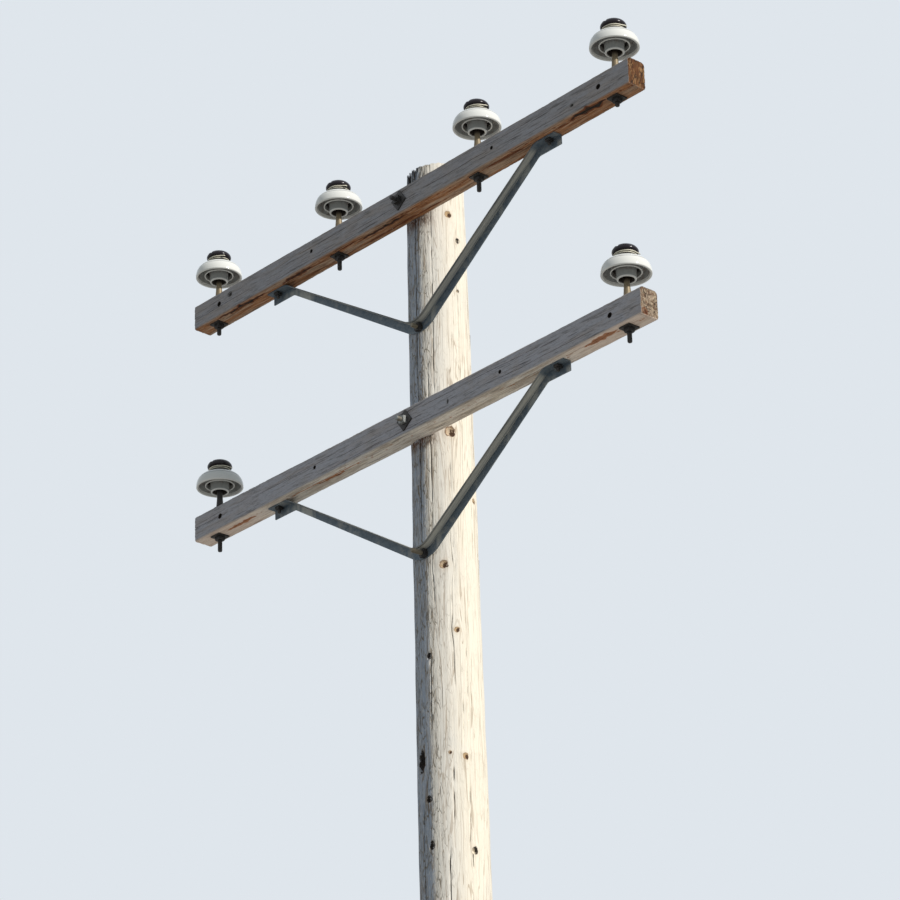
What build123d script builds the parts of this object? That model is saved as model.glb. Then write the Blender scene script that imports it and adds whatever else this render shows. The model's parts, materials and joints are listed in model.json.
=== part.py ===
"""Wooden utility pole with two timber crossarms, six pin insulators and two one-piece angle braces.

Millimetres. Z is up, X runs along the crossarms, the arms are bolted on the -Y side of the pole, and the origin is at
the pole's centre at ground level. Every piece is built where it stands.
"""

import math
import os

from build123d import *

# Pole: a tapered round log, seen from the ground line up.
POLE_HEIGHT = 10360.0
POLE_FOOT_R = 172.0
POLE_TOP_R = 109.0
POLE_TOP_CHAMFER = 7.0
SEAT_HEIGHT = 62.0
SEAT_SIDE = 60.0

# Crossarms: sawn timber, let into flat gains cut in the pole.
ARM_LENGTH = 2438.4
ARM_WIDTH = 82.5
ARM_HEIGHT = 108.0
ARM_TOP_CHAMFER = 9.0
ARM_FOOT_CHAMFER = 4.0
ARM_DROP = 165.0
ARM_SPACING = 900.0
GAIN_UPPER = 12.0
GAIN_LOWER = 18.0
FIT = 0.3
END_HOLE_X = ARM_LENGTH / 2 - 152.4
END_HOLE_R = 8.75
BRACE_HOLE_X = 508.0
BRACE_HOLE_R = 5.6
PIN_X = ARM_LENGTH / 2 - 101.6
PIN_INNER_X = 392.0

# Through bolts with square washers and square nuts.
BOLT_R = 8.0
BOLT_CHAMFER = 1.5
HEAD_SIDE = 24.0
HEAD_H = 11.0
NUT_SIDE = 27.0
NUT_H = 14.0
NUT_CHAMFER = 2.0
WASHER_SIDE = 57.0
WASHER_T = 5.0
WASHER_TURN = 36.0
BOLT_REACH = 42.0

# One-piece brace: an angle bent into a V, with level ends under the arm.
ANGLE = 38.0
ANGLE_T = 5.0
BRACE_HALF = 806.0
BRACE_TAB = 105.0
BRACE_DROP = 460.0
VERTEX_X = 27.0
BRACE_BEND_R = 24.0
BRACE_VERTEX_R = 90.0
BRACE_BOLT_X = BRACE_HALF - 44.0
CARRIAGE_R = 6.35
CARRIAGE_HEAD_R = 14.0
CARRIAGE_HEAD_H = 6.5
CARRIAGE_NUT = 22.0
CARRIAGE_NUT_H = 11.0
CARRIAGE_REACH = 25.0
VERTEX_WASHER_R = 15.5
VERTEX_WASHER_T = 3.0
VERTEX_REACH = (42.0, 64.0)

# Insulator pin: base collar, tapered shank and a threaded thimble inside the porcelain.
PIN_COLLAR_R = 25.0
PIN_COLLAR_H = 7.0
PIN_CONE_R = 14.0
PIN_CONE_TOP = 58.0
PIN_SHANK_R = 10.5
PIN_THIMBLE_R = 17.7
PIN_THIMBLE_LOW = 6.0
PIN_THIMBLE_TOP = 62.0
PIN_WASHER = 50.8
RIM_ABOVE_ARM = 92.5
PIN_REACH_UPPER = (48.0, 61.0, 62.0, 34.0)
PIN_REACH_LOWER = (64.0, 58.0)

# Insulator: one turned porcelain body, heights from its rim.
SKIRT_R = 90.0
SHOULDER_Z = 55.0
VAULT_Z = 35.5
PETTICOAT_R = 56.5
PETTICOAT_LOW = 6.2
TUBE_R = 35.0
TUBE_LOW = -20.0
MOUTH_R = 27.0
SOCKET_R = 18.0
SOCKET_TOP = 66.0
NECK_R = 36.5
NECK_Z = 70.5
FLANGE_R = 50.8
CAP_R = 47.0
CAP_TOP = 108.0
GROOVE_R = 9.5
GROOVE_DEPTH = 17.5
TIE_R = 2.3
TIE_STEP = 4.4

PARTS = "parts"
TAPER = (POLE_FOOT_R - POLE_TOP_R) / POLE_HEIGHT
ARM_Z = {"upper": POLE_HEIGHT - ARM_DROP, "lower": POLE_HEIGHT - ARM_DROP - ARM_SPACING}
GAIN = {"upper": GAIN_UPPER, "lower": GAIN_LOWER}
PIN_PLACES = {
    "upper": list(zip((-PIN_X, -PIN_INNER_X, PIN_INNER_X, PIN_X), PIN_REACH_UPPER)),
    "lower": list(zip((-PIN_X, PIN_X), PIN_REACH_LOWER)),
}
TIERS = ("upper", "lower")
TOWARDS = Plane.XZ  # its normal is -Y, the side that the arms stand on
os.makedirs(PARTS, exist_ok=True)


def pole_r(z):
    """Pole radius at height z."""
    return POLE_FOOT_R - TAPER * z


def save(piece, name):
    """Labels one finished piece and writes its STEP file."""
    piece.label = name
    export_step(piece, f"{PARTS}/{name}.step")


def arm_back(tier):
    """Y of the arm's back face, flat on its gain."""
    return -(pole_r(ARM_Z[tier]) - GAIN[tier])


def arm_mid(tier):
    return arm_back(tier) - ARM_WIDTH / 2


def arm_under(tier):
    return ARM_Z[tier] - ARM_HEIGHT / 2


BEND_X = BRACE_HALF - BRACE_TAB
SLOPES = (math.atan2(BRACE_DROP, BEND_X + VERTEX_X), math.atan2(BRACE_DROP, BEND_X - VERTEX_X))
SLOPE = sum(SLOPES) / 2
VERTEX_LIFT = BRACE_VERTEX_R * (1 / math.cos(SLOPE) - 1)
VERTEX_TOP = -BRACE_DROP + VERTEX_LIFT
VERTEX_BOLT = VERTEX_TOP - ANGLE_T - (ANGLE - ANGLE_T) / 2


def vertex_z(tier):
    """Height of the bolt that holds the brace to the pole."""
    return arm_under(tier) + VERTEX_BOLT


def brace_back(tier):
    """Y of the brace's back face, just touching the pole at the brace's lowest point."""
    return -pole_r(arm_under(tier) + VERTEX_TOP - ANGLE) - FIT / 2


def tab_bolt_y(tier):
    return brace_back(tier) - ANGLE_T - (ANGLE - ANGLE_T) / 2


def back_seat(x, z):
    """Y of the flat that a washer sits on behind the pole."""
    radius = pole_r(z + SEAT_HEIGHT / 2)
    return math.sqrt(radius**2 - (x + SEAT_SIDE / 2) ** 2)


def bolt_places():
    """X and height of each through bolt."""
    return [(0, ARM_Z[t]) for t in TIERS] + [(VERTEX_X, vertex_z(t)) for t in TIERS]


def cylinder_y(radius, y_far, y_near, x, z):
    """Round bar along Y from y_far towards -Y down to y_near, in the current part."""
    with BuildSketch(TOWARDS.offset(-y_far)) as round_face:
        with Locations((x, z)):
            Circle(radius)
    extrude(round_face.sketch, amount=y_far - y_near)


# The pole, with gains for the arms, washer seats behind and bolt holes through.
with BuildPart() as pole:
    Cone(POLE_FOOT_R, POLE_TOP_R, POLE_HEIGHT, align=(Align.CENTER, Align.CENTER, Align.MIN))
    chamfer(pole.edges().sort_by(Axis.Z)[-1], POLE_TOP_CHAMFER)
    for tier in TIERS:
        with Locations((0, arm_back(tier), ARM_Z[tier])):
            Box(
                4 * POLE_FOOT_R,
                POLE_FOOT_R,
                ARM_HEIGHT + 2 * FIT,
                align=(Align.CENTER, Align.MAX, Align.CENTER),
                mode=Mode.SUBTRACT,
            )
    for x, height in bolt_places():
        with Locations((0, back_seat(x, height), height)):
            Box(
                4 * POLE_FOOT_R,
                POLE_FOOT_R,
                SEAT_HEIGHT,
                align=(Align.CENTER, Align.MIN, Align.CENTER),
                mode=Mode.SUBTRACT,
            )
        with Locations(Pos(x, 0, height) * Rot(90, 0, 0)):
            Cylinder(BOLT_R + FIT, 4 * POLE_FOOT_R, mode=Mode.SUBTRACT)
save(pole.part, "pole")

# The crossarms.
for tier in TIERS:
    with BuildPart() as crossarm:
        with Locations((0, arm_mid(tier), ARM_Z[tier])):
            Box(ARM_LENGTH, ARM_WIDTH, ARM_HEIGHT)
        long_edges = crossarm.edges().filter_by(Axis.X).group_by(Axis.Z)
        top_edges, foot_edges = long_edges[-1], long_edges[0]
        chamfer(top_edges, ARM_TOP_CHAMFER)
        chamfer(foot_edges, ARM_FOOT_CHAMFER)
        for x, radius in (
            (0, BOLT_R + FIT),
            (-END_HOLE_X, END_HOLE_R),
            (END_HOLE_X, END_HOLE_R),
            (-BRACE_HOLE_X, BRACE_HOLE_R),
            (BRACE_HOLE_X, BRACE_HOLE_R),
        ):
            with Locations(Pos(x, arm_mid(tier), ARM_Z[tier]) * Rot(90, 0, 0)):
                Cylinder(radius, 2 * ARM_WIDTH, mode=Mode.SUBTRACT)
        for x, _ in PIN_PLACES[tier]:
            with Locations((x, arm_mid(tier), ARM_Z[tier])):
                Cylinder(BOLT_R + FIT, 2 * ARM_HEIGHT, mode=Mode.SUBTRACT)
        for x in (-BRACE_BOLT_X, BRACE_BOLT_X):
            with Locations((x, tab_bolt_y(tier), ARM_Z[tier])):
                Cylinder(CARRIAGE_R + FIT, 2 * ARM_HEIGHT, mode=Mode.SUBTRACT)
    save(crossarm.part, f"crossarm_{tier}")


def band_outline(depth):
    """Corner points and bend radii of the brace's side view, from its top line down by depth."""
    left, right = SLOPES
    left_lift, right_lift = depth / math.cos(left), depth / math.cos(right)
    fall, rise = math.tan(left), math.tan(right)
    low_x = ((rise - fall) * BEND_X - left_lift + right_lift) / (fall + rise)
    low_z = -fall * (low_x + BEND_X) - left_lift
    top = [(-BRACE_HALF, 0), (-BEND_X, 0), (VERTEX_X, -BRACE_DROP), (BEND_X, 0), (BRACE_HALF, 0)]
    low = [
        (BRACE_HALF, -depth),
        (BEND_X - depth * math.tan(right / 2), -depth),
        (low_x, low_z),
        (-BEND_X + depth * math.tan(left / 2), -depth),
        (-BRACE_HALF, -depth),
    ]
    outer = BRACE_BEND_R + ANGLE
    radii = {
        top[1]: outer,
        top[3]: outer,
        top[2]: BRACE_VERTEX_R,
        low[1]: outer - depth,
        low[3]: outer - depth,
        low[2]: BRACE_VERTEX_R + depth,
    }
    return top + low, radii


def bent_band(depth, reach, y_back, z_top):
    """A band of the bent angle, depth tall along its path and reach thick towards -Y, in the current part."""
    points, radii = band_outline(depth)
    with BuildSketch(TOWARDS.offset(-y_back)) as band:
        with BuildLine():
            Polyline(*[(x, z + z_top) for x, z in points], close=True)
        make_face()
        for (x, z), radius in radii.items():
            fillet(band.vertices().sort_by_distance((x, z + z_top, 0))[0], radius)
    extrude(band.sketch, amount=reach)


# The braces: a wall against the pole and a flange along its top edge.
for tier in TIERS:
    with BuildPart() as brace:
        bent_band(ANGLE, ANGLE_T, brace_back(tier), arm_under(tier))
        bent_band(ANGLE_T, ANGLE, brace_back(tier), arm_under(tier))
        with Locations(Pos(VERTEX_X, brace_back(tier), vertex_z(tier)) * Rot(90, 0, 0)):
            Cylinder(BOLT_R + FIT, 4 * ANGLE_T, mode=Mode.SUBTRACT)
        for x in (-BRACE_BOLT_X, BRACE_BOLT_X):
            with Locations((x, tab_bolt_y(tier), arm_under(tier))):
                Cylinder(CARRIAGE_R + FIT, 4 * ANGLE_T, mode=Mode.SUBTRACT)
    save(brace.part, f"brace_{tier}")


def square_nut(side, height, radius, turn=0.0):
    """A square nut on the XY plane with its upper corners eased, in the current part."""
    with BuildSketch(Plane.XY) as outline:
        Rectangle(side, side, rotation=turn)
    extrude(outline.sketch, amount=height)
    with BuildSketch(Plane.XY.offset(height - NUT_CHAMFER)) as corners:
        Circle(side)
        Circle(side * 0.62, mode=Mode.SUBTRACT)
    extrude(corners.sketch, amount=NUT_CHAMFER, mode=Mode.SUBTRACT)
    with Locations((0, 0, height / 2)):
        Cylinder(radius + FIT, 2 * height, mode=Mode.SUBTRACT)


def square_washer(side, turn=0.0):
    """A square washer on the XY plane, in the current part."""
    with BuildSketch(Plane.XY) as outline:
        Rectangle(side, side, rotation=turn)
        Circle(BOLT_R + FIT, mode=Mode.SUBTRACT)
    extrude(outline.sketch, amount=WASHER_T)


def placed(piece, x, y, z, facing):
    """The piece moved so that its XY plane lies at the point and its Z points along facing."""
    turn = {"front": Rot(90, 0, 0), "back": Rot(-90, 0, 0), "down": Rot(180, 0, 0), "up": Rot(0, 0, 0)}[facing]
    return Pos(x, y, z) * turn * piece


with BuildPart() as nut_piece:
    square_nut(NUT_SIDE, NUT_H, BOLT_R)
with BuildPart() as small_nut_piece:
    square_nut(CARRIAGE_NUT, CARRIAGE_NUT_H, CARRIAGE_R)
with BuildPart() as turned_washer_piece:
    square_washer(WASHER_SIDE, WASHER_TURN)
with BuildPart() as washer_piece:
    square_washer(SEAT_SIDE - 3.0)
with BuildPart() as pin_washer_piece:
    square_washer(PIN_WASHER)
with BuildPart() as vertex_washer_piece:
    with BuildSketch(Plane.XY):
        Circle(VERTEX_WASHER_R)
        Circle(BOLT_R + FIT, mode=Mode.SUBTRACT)
    extrude(amount=VERTEX_WASHER_T)


def headed_bolt(y_head, y_end, x, z):
    """A square-headed bolt along Y, its head behind y_head and its tip at y_end."""
    with BuildPart() as bolt:
        cylinder_y(BOLT_R, y_head, y_end, x, z)
        chamfer(bolt.edges().sort_by(Axis.Y)[0], BOLT_CHAMFER)
        with Locations((x, y_head, z)):
            Box(HEAD_SIDE, HEAD_H, HEAD_SIDE, align=(Align.CENTER, Align.MIN, Align.CENTER))
    return bolt.part


for tier, vertex_reach in zip(TIERS, VERTEX_REACH):
    z = ARM_Z[tier]
    front = arm_back(tier) - ARM_WIDTH
    behind = back_seat(0, z)
    save(headed_bolt(behind + WASHER_T, front - BOLT_REACH, 0, z), f"arm_bolt_{tier}")
    save(placed(turned_washer_piece.part, 0, front, z, "front"), f"arm_bolt_washer_{tier}")
    save(placed(nut_piece.part, 0, front - WASHER_T, z, "front"), f"arm_bolt_nut_{tier}")
    save(placed(washer_piece.part, 0, behind, z, "back"), f"arm_bolt_back_washer_{tier}")

    z = vertex_z(tier)
    front = brace_back(tier) - ANGLE_T
    behind = back_seat(VERTEX_X, z)
    save(headed_bolt(behind + WASHER_T, front - vertex_reach, VERTEX_X, z), f"brace_bolt_{tier}")
    save(placed(vertex_washer_piece.part, VERTEX_X, front, z, "front"), f"brace_bolt_washer_{tier}")
    save(placed(nut_piece.part, VERTEX_X, front - VERTEX_WASHER_T, z, "front"), f"brace_bolt_nut_{tier}")
    save(placed(washer_piece.part, VERTEX_X, behind, z, "back"), f"brace_bolt_back_washer_{tier}")

# Carriage bolts that hold each brace's level ends under its arm.
with BuildPart() as carriage_bolt:
    with BuildSketch(Plane.XZ):
        with BuildLine():
            tip = -ARM_HEIGHT - ANGLE_T - CARRIAGE_REACH
            dome_r = (CARRIAGE_HEAD_R**2 + CARRIAGE_HEAD_H**2) / (2 * CARRIAGE_HEAD_H)
            half = math.asin(CARRIAGE_HEAD_R / dome_r) / 2
            Polyline(
                (0, CARRIAGE_HEAD_H),
                (0, tip),
                (CARRIAGE_R - BOLT_CHAMFER, tip),
                (CARRIAGE_R, tip + BOLT_CHAMFER),
                (CARRIAGE_R, 0),
                (CARRIAGE_HEAD_R, 0),
            )
            ThreePointArc(
                (CARRIAGE_HEAD_R, 0),
                (dome_r * math.sin(half), CARRIAGE_HEAD_H - dome_r + dome_r * math.cos(half)),
                (0, CARRIAGE_HEAD_H),
            )
        make_face()
    revolve(axis=Axis.Z)

for tier in TIERS:
    low = arm_under(tier) - ANGLE_T
    high = ARM_Z[tier] + ARM_HEIGHT / 2
    ends = [(x, tab_bolt_y(tier)) for x in (-BRACE_BOLT_X, BRACE_BOLT_X)]
    bolts = [placed(carriage_bolt.part, x, y, high, "up") for x, y in ends]
    nuts = [placed(small_nut_piece.part, x, y, low, "down") for x, y in ends]
    save(Compound(children=bolts), f"brace_end_bolts_{tier}")
    save(Compound(children=nuts), f"brace_end_nuts_{tier}")

# The insulator's turned profile, from the crown down the outside and back up inside to the pin socket.
with BuildPart() as porcelain:
    with BuildSketch(Plane.XZ) as profile:
        with BuildLine():
            crown = Line((0, CAP_TOP), (CAP_R * 0.45, CAP_TOP))
            dome = ThreePointArc(crown @ 1, (CAP_R * 0.845, CAP_TOP - 6.0), (CAP_R, CAP_TOP - 17.0))
            under_cap = ThreePointArc(dome @ 1, (CAP_R - 1.2, NECK_Z + 11.0), (NECK_R + 4.0, NECK_Z + 6.5))
            neck = ThreePointArc(under_cap @ 1, (NECK_R, NECK_Z), (NECK_R + 3.5, NECK_Z - 6.5))
            ledge = Line(neck @ 1, (FLANGE_R - 4.3, SHOULDER_Z + 7.0))
            bead = ThreePointArc(ledge @ 1, (FLANGE_R, SHOULDER_Z + 4.0), (FLANGE_R - 0.3, SHOULDER_Z + 0.5))
            step = Line(bead @ 1, (FLANGE_R + 1.7, SHOULDER_Z))
            bell = Spline(
                step @ 1,
                (SKIRT_R - 29.0, SHOULDER_Z - 2.2),
                (SKIRT_R - 20.5, SHOULDER_Z - 7.5),
                (SKIRT_R - 12.5, SHOULDER_Z - 15.0),
                (SKIRT_R - 6.5, SHOULDER_Z - 23.5),
                (SKIRT_R - 2.5, SHOULDER_Z - 33.5),
                (SKIRT_R - 0.4, SHOULDER_Z - 44.0),
                (SKIRT_R, 3.0),
            )
            lip = ThreePointArc(bell @ 1, (SKIRT_R - 4.2, -1.8), (SKIRT_R - 8.5, 2.0))
            inside = Spline(
                lip @ 1,
                (SKIRT_R - 11.0, VAULT_Z - 21.5),
                (SKIRT_R - 15.5, VAULT_Z - 10.5),
                (SKIRT_R - 21.5, VAULT_Z - 3.0),
            )
            vault = ThreePointArc(inside @ 1, (PETTICOAT_R + 6.0, VAULT_Z), (PETTICOAT_R + 1.0, VAULT_Z - 5.5))
            petticoat = Line(vault @ 1, (PETTICOAT_R, PETTICOAT_LOW + 2.3))
            petticoat_lip = ThreePointArc(
                petticoat @ 1,
                (PETTICOAT_R - 2.3, PETTICOAT_LOW),
                (PETTICOAT_R - 4.6, PETTICOAT_LOW + 2.3),
            )
            petticoat_in = Line(petticoat_lip @ 1, (PETTICOAT_R - 6.5, VAULT_Z - 5.5))
            inner_vault = ThreePointArc(petticoat_in @ 1, (TUBE_R + 8.5, VAULT_Z + 2.5), (TUBE_R + 1.5, VAULT_Z - 4.5))
            tube = Line(inner_vault @ 1, (TUBE_R, TUBE_LOW + 3.0))
            tube_lip = ThreePointArc(tube @ 1, ((TUBE_R + MOUTH_R) / 2, TUBE_LOW), (MOUTH_R, TUBE_LOW + 3.0))
            mouth = Line(tube_lip @ 1, (SOCKET_R, PIN_THIMBLE_LOW - 4.0))
            socket = Polyline(mouth @ 1, (SOCKET_R, SOCKET_TOP - 6.0), (SOCKET_R - 6.0, SOCKET_TOP), (0, SOCKET_TOP))
            Line(socket @ 1, crown @ 0)
        make_face()
    revolve(axis=Axis.Z)
    groove_z = CAP_TOP - GROOVE_DEPTH + GROOVE_R
    with Locations(Pos(0, 0, groove_z) * Rot(90, 0, 0)):
        Cylinder(GROOVE_R, 4 * CAP_R, mode=Mode.SUBTRACT)
    with Locations((0, 0, groove_z)):
        Box(
            2 * GROOVE_R,
            4 * CAP_R,
            CAP_TOP,
            align=(Align.CENTER, Align.CENTER, Align.MIN),
            mode=Mode.SUBTRACT,
        )

with BuildPart() as neck_tie:
    for turn in (-1, 1):
        with Locations((0, 0, NECK_Z + turn * TIE_STEP / 2)):
            Torus(NECK_R + TIE_R + 3 * FIT, TIE_R)


def pin_profile(reach):
    """A pin whose collar stands on the arm's top at z = 0 and whose lower end passes the arm by reach."""
    end = -ARM_HEIGHT - reach
    rim = RIM_ABOVE_ARM
    with BuildPart() as pin:
        with BuildSketch(Plane.XZ):
            with BuildLine():
                Polyline(
                    (0, end),
                    (BOLT_R - BOLT_CHAMFER, end),
                    (BOLT_R, end + BOLT_CHAMFER),
                    (BOLT_R, 0),
                    (PIN_COLLAR_R, 0),
                    (PIN_COLLAR_R, PIN_COLLAR_H - 2.5),
                    (PIN_COLLAR_R - 3.0, PIN_COLLAR_H),
                    (PIN_CONE_R + 2.0, PIN_COLLAR_H + 2.0),
                    (PIN_CONE_R, PIN_COLLAR_H + 7.0),
                    (PIN_SHANK_R, PIN_CONE_TOP),
                    (PIN_SHANK_R, rim + PIN_THIMBLE_LOW - 5.0),
                    (PIN_THIMBLE_R, rim + PIN_THIMBLE_LOW),
                    (PIN_THIMBLE_R, rim + PIN_THIMBLE_TOP - 8.0),
                    (PIN_THIMBLE_R - 6.5, rim + PIN_THIMBLE_TOP),
                    (0, rim + PIN_THIMBLE_TOP),
                    close=True,
                )
            make_face()
        revolve(axis=Axis.Z)
    return pin.part


number = 0
for tier in TIERS:
    top, low, mid = ARM_Z[tier] + ARM_HEIGHT / 2, arm_under(tier), arm_mid(tier)
    ties = []
    for x, reach in PIN_PLACES[tier]:
        number += 1
        seat = Pos(x, mid, top + RIM_ABOVE_ARM)
        save(seat * porcelain.part, f"insulator_{number}")
        save(Pos(x, mid, top) * pin_profile(reach), f"insulator_pin_{number}")
        ties.append(seat * neck_tie.part)
    washers = [placed(pin_washer_piece.part, x, mid, low, "down") for x, _ in PIN_PLACES[tier]]
    nuts = [placed(nut_piece.part, x, mid, low - WASHER_T, "down") for x, _ in PIN_PLACES[tier]]
    save(Compound(children=ties), f"neck_ties_{tier}")
    save(Compound(children=washers), f"pin_washers_{tier}")
    save(Compound(children=nuts), f"pin_nuts_{tier}")
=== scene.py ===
"""Looks of a weathered wooden utility pole with two crossarms, laid out as an add-on and run as a script.

Everything is in metres in the part's own frame: Z up, X along the crossarms, the crossarms on the -Y side of
the pole and the origin at the pole's centre on the ground.
"""

import json
import math

import bpy
import numpy as np
from bpy.props import FloatProperty, FloatVectorProperty, IntProperty, PointerProperty
from mathutils import Matrix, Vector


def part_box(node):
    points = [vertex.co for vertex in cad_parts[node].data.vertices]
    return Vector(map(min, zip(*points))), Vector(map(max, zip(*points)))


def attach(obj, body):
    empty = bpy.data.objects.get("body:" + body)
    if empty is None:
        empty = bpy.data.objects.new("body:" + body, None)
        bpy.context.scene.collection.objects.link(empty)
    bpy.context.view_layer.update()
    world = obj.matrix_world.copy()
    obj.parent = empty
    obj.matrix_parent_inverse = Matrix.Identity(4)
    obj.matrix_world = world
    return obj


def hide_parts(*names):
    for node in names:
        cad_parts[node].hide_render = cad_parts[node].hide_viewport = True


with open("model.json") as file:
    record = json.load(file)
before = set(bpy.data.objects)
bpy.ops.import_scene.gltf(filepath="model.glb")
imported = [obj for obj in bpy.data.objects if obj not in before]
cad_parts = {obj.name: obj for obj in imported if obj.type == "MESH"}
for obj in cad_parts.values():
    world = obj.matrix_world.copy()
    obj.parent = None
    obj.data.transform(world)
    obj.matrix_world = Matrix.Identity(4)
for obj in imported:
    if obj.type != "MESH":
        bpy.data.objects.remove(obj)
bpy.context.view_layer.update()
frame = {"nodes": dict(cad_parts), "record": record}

bl_info = {
    "name": "Weathered Utility Pole",
    "version": (1, 0, 0),
    "blender": (4, 5, 0),
    "location": "View3D > Sidebar > Pole",
    "description": "Builds the timber, porcelain and line hardware of a wooden utility pole on its frame",
    "category": "Object",
}

TIERS = ("upper", "lower")
TURN = 2.0 * math.pi


def corners(node):
    """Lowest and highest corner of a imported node, as arrays."""
    low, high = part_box(node)
    return np.array(low), np.array(high)


def centre_of(node):
    """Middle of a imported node's box."""
    return 0.5 * sum(corners(node))


def arm_holes(tier):
    """The record's mounts for the open bolt holes of a crossarm."""
    return [mount for mount in frame["record"]["mounts"] if mount["name"].startswith(f"{tier}_arm_")]


def of_tier(tier):
    """Numbers of the insulators and pins on a tier."""
    return [number for number, owner in TIER_OF.items() if owner == tier]


def placed(x, y, z, place):
    """A matrix with the given axes and place."""
    return Matrix([[x[i], y[i], z[i], place[i]] for i in range(3)] + [[0, 0, 0, 1]])


POLE_FOOT_R, POLE_TOP = corners("pole")[1][[0, 2]]
ARM = {tier: corners(f"crossarm_{tier}") for tier in TIERS}
SEATS = [corners(f"{kind}_bolt_back_washer_{tier}") for kind in ("arm", "brace") for tier in TIERS]
TIER_OF = {1: "upper", 2: "upper", 3: "upper", 4: "upper", 5: "lower", 6: "lower"}
# An insulator's rim lies this far below its top.
RIM_BELOW_CROWN = 0.108
RIM_Z = {tier: corners(f"insulator_{n}")[1][2] - RIM_BELOW_CROWN for n, tier in ((1, "upper"), (5, "lower"))}
# Soft edges of an insulator's parts, as distances from its axis: first and last trace of each change.
BORE_EDGE = (0.0262, 0.0300)
TUBE_EDGE = (0.0362, 0.0375)
CHANNEL_EDGE = (0.0500, 0.0512)
HEM_EDGE = (0.0510, 0.0520)
VAULT_EDGE = (0.0814, 0.0826)
# The same as heights over the rim: the roof of the inside, and the shoulder where the dark crown begins.
ROOF_EDGE = (0.036, 0.038)
SHOULDER_EDGE = (0.0548, 0.0558)

# The pole's surface: where wide rows end and close ones begin, and the length of the rounded top.
CLOSE_ROWS_FROM = 7.2
CROWN_LENGTH = 0.05
# How far a flat stands clear of what lies on it, and how far a washer's seat reaches past the washer.
SKIN_GAP = 0.0002
SEAT_MARGIN = 0.0025
# Side of the pole, in degrees from +X, where its top has split away.
SPLIT_SIDE = -128

# Eased edges of a crossarm's section, above and below, and how far from its ends the close rows lie.
ARM_TOP_EDGE = 0.009
ARM_FOOT_EDGE = 0.004
ARM_END_ROWS = np.array([0.0, 0.0015, 0.004, 0.008, 0.014])
# A bore's cutter: how far it stands out in front of the arm, and its length.
BORE_LEAD = 0.02
BORE_LENGTH = 0.13

DARK_HARDWARE = (
    "arm_bolt_washer",
    "arm_bolt_back_washer",
    "brace_bolt_washer",
    "brace_bolt_back_washer",
    "brace_bolt_nut",
    "brace_end_bolts",
    "brace_end_nuts",
    "pin_washers",
    "pin_nuts",
)
# The one pin that has gone dark all over.
DARK_PIN = 5

# Radius of the bolts' and pins' threads, and how far a thread stops short of the end that it covers.
BOLT_RADIUS = 0.008
THREAD_CLEARANCE = 0.0015
TIE_TURNS = 1.75

# The view: the camera's place, its yaw, pitch and roll in radians, and its focal length in pixels.
VIEW_PLACE = (9.594, -8.688, 3.196)
VIEW_YAW, VIEW_PITCH, VIEW_ROLL = 0.8329, 0.4362, -0.0306
FOCAL_PIXELS = 3947.6
PICTURE_PIXELS = 900.0
SENSOR_MM = 36.0

# Knots of the pole: degrees round it from +X, height, radius, height over width and hollowness.
KNOTS = (
    (-18, 10.143, 0.013, 1.1, 0.0),
    (2, 10.04, 0.009, 1.3, 1.0),
    (-2, 9.83, 0.006, 1.0, 0.8),
    (-28, 9.25, 0.018, 1.1, 0.2),
    (22, 9.00, 0.010, 1.0, 0.1),
    (-47, 8.73, 0.015, 1.1, 0.1),
    (-27, 8.48, 0.010, 1.1, 0.0),
    (-77, 8.39, 0.009, 1.3, 1.0),
    (-45, 8.02, 0.006, 1.0, 0.1),
    (-19, 8.007, 0.011, 1.1, 0.0),
    (-100, 8.01, 0.018, 2.4, 1.0),
    (-84, 7.86, 0.010, 1.4, 0.9),
    (-80, 7.69, 0.011, 1.4, 0.8),
    (-8, 7.665, 0.0115, 1.2, 1.0),
    (60, 9.55, 0.011, 1.1, 0.0),
    (97, 8.90, 0.014, 1.1, 0.3),
    (141, 9.70, 0.009, 1.3, 0.9),
    (-150, 9.10, 0.012, 1.1, 0.2),
    (172, 8.20, 0.014, 1.2, 0.1),
    (50, 7.15, 0.013, 1.1, 0.3),
    (-62, 6.60, 0.014, 1.2, 0.0),
    (-124, 5.90, 0.012, 1.4, 0.9),
    (12, 5.20, 0.015, 1.1, 0.2),
    (111, 4.55, 0.013, 1.2, 0.1),
    (-33, 3.70, 0.016, 1.2, 0.3),
    (-160, 2.95, 0.013, 1.3, 0.9),
    (72, 2.30, 0.015, 1.1, 0.0),
    (-82, 1.50, 0.016, 1.2, 0.2),
)

# Long checks of the pole: angle in degrees, lowest and highest point, and depth as a share of the full depth.
CHECKS = (
    (-77.5, 8.11, 8.42, 1.0),
    (-7.6, 7.595, 7.668, 1.0),
    (-39, 7.68, 8.02, 0.7),
    (-48, 7.20, 7.72, 0.8),
    (-66, 8.30, 9.60, 0.45),
    (-55, 9.35, 10.36, 0.45),
    (-31, 8.60, 9.30, 0.40),
    (-35, 8.20, 8.95, 0.40),
    (-22, 8.05, 8.40, 0.45),
    (-12, 7.30, 8.55, 0.35),
    (-3, 9.20, 9.95, 0.30),
    (14, 7.90, 9.40, 0.30),
    (-90, 8.80, 10.36, 1.0),
    (-97, 6.80, 7.90, 0.9),
    (-112, 9.60, 10.36, 1.0),
    (-122, 8.10, 9.30, 0.8),
    (-24, 5.20, 7.30, 0.6),
    (34, 8.50, 10.36, 0.9),
    (56, 5.80, 9.20, 1.0),
    (83, 7.60, 10.36, 0.9),
    (118, 4.80, 8.30, 1.0),
    (150, 7.10, 10.36, 1.0),
    (178, 2.60, 6.90, 1.0),
    (-158, 6.20, 9.80, 0.9),
    (-140, 1.10, 5.40, 1.0),
    (-72, 0.50, 4.60, 1.0),
    (-6, 0.70, 4.40, 1.0),
    (44, 0.90, 4.90, 0.9),
    (98, 0.30, 4.10, 1.0),
)


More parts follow.
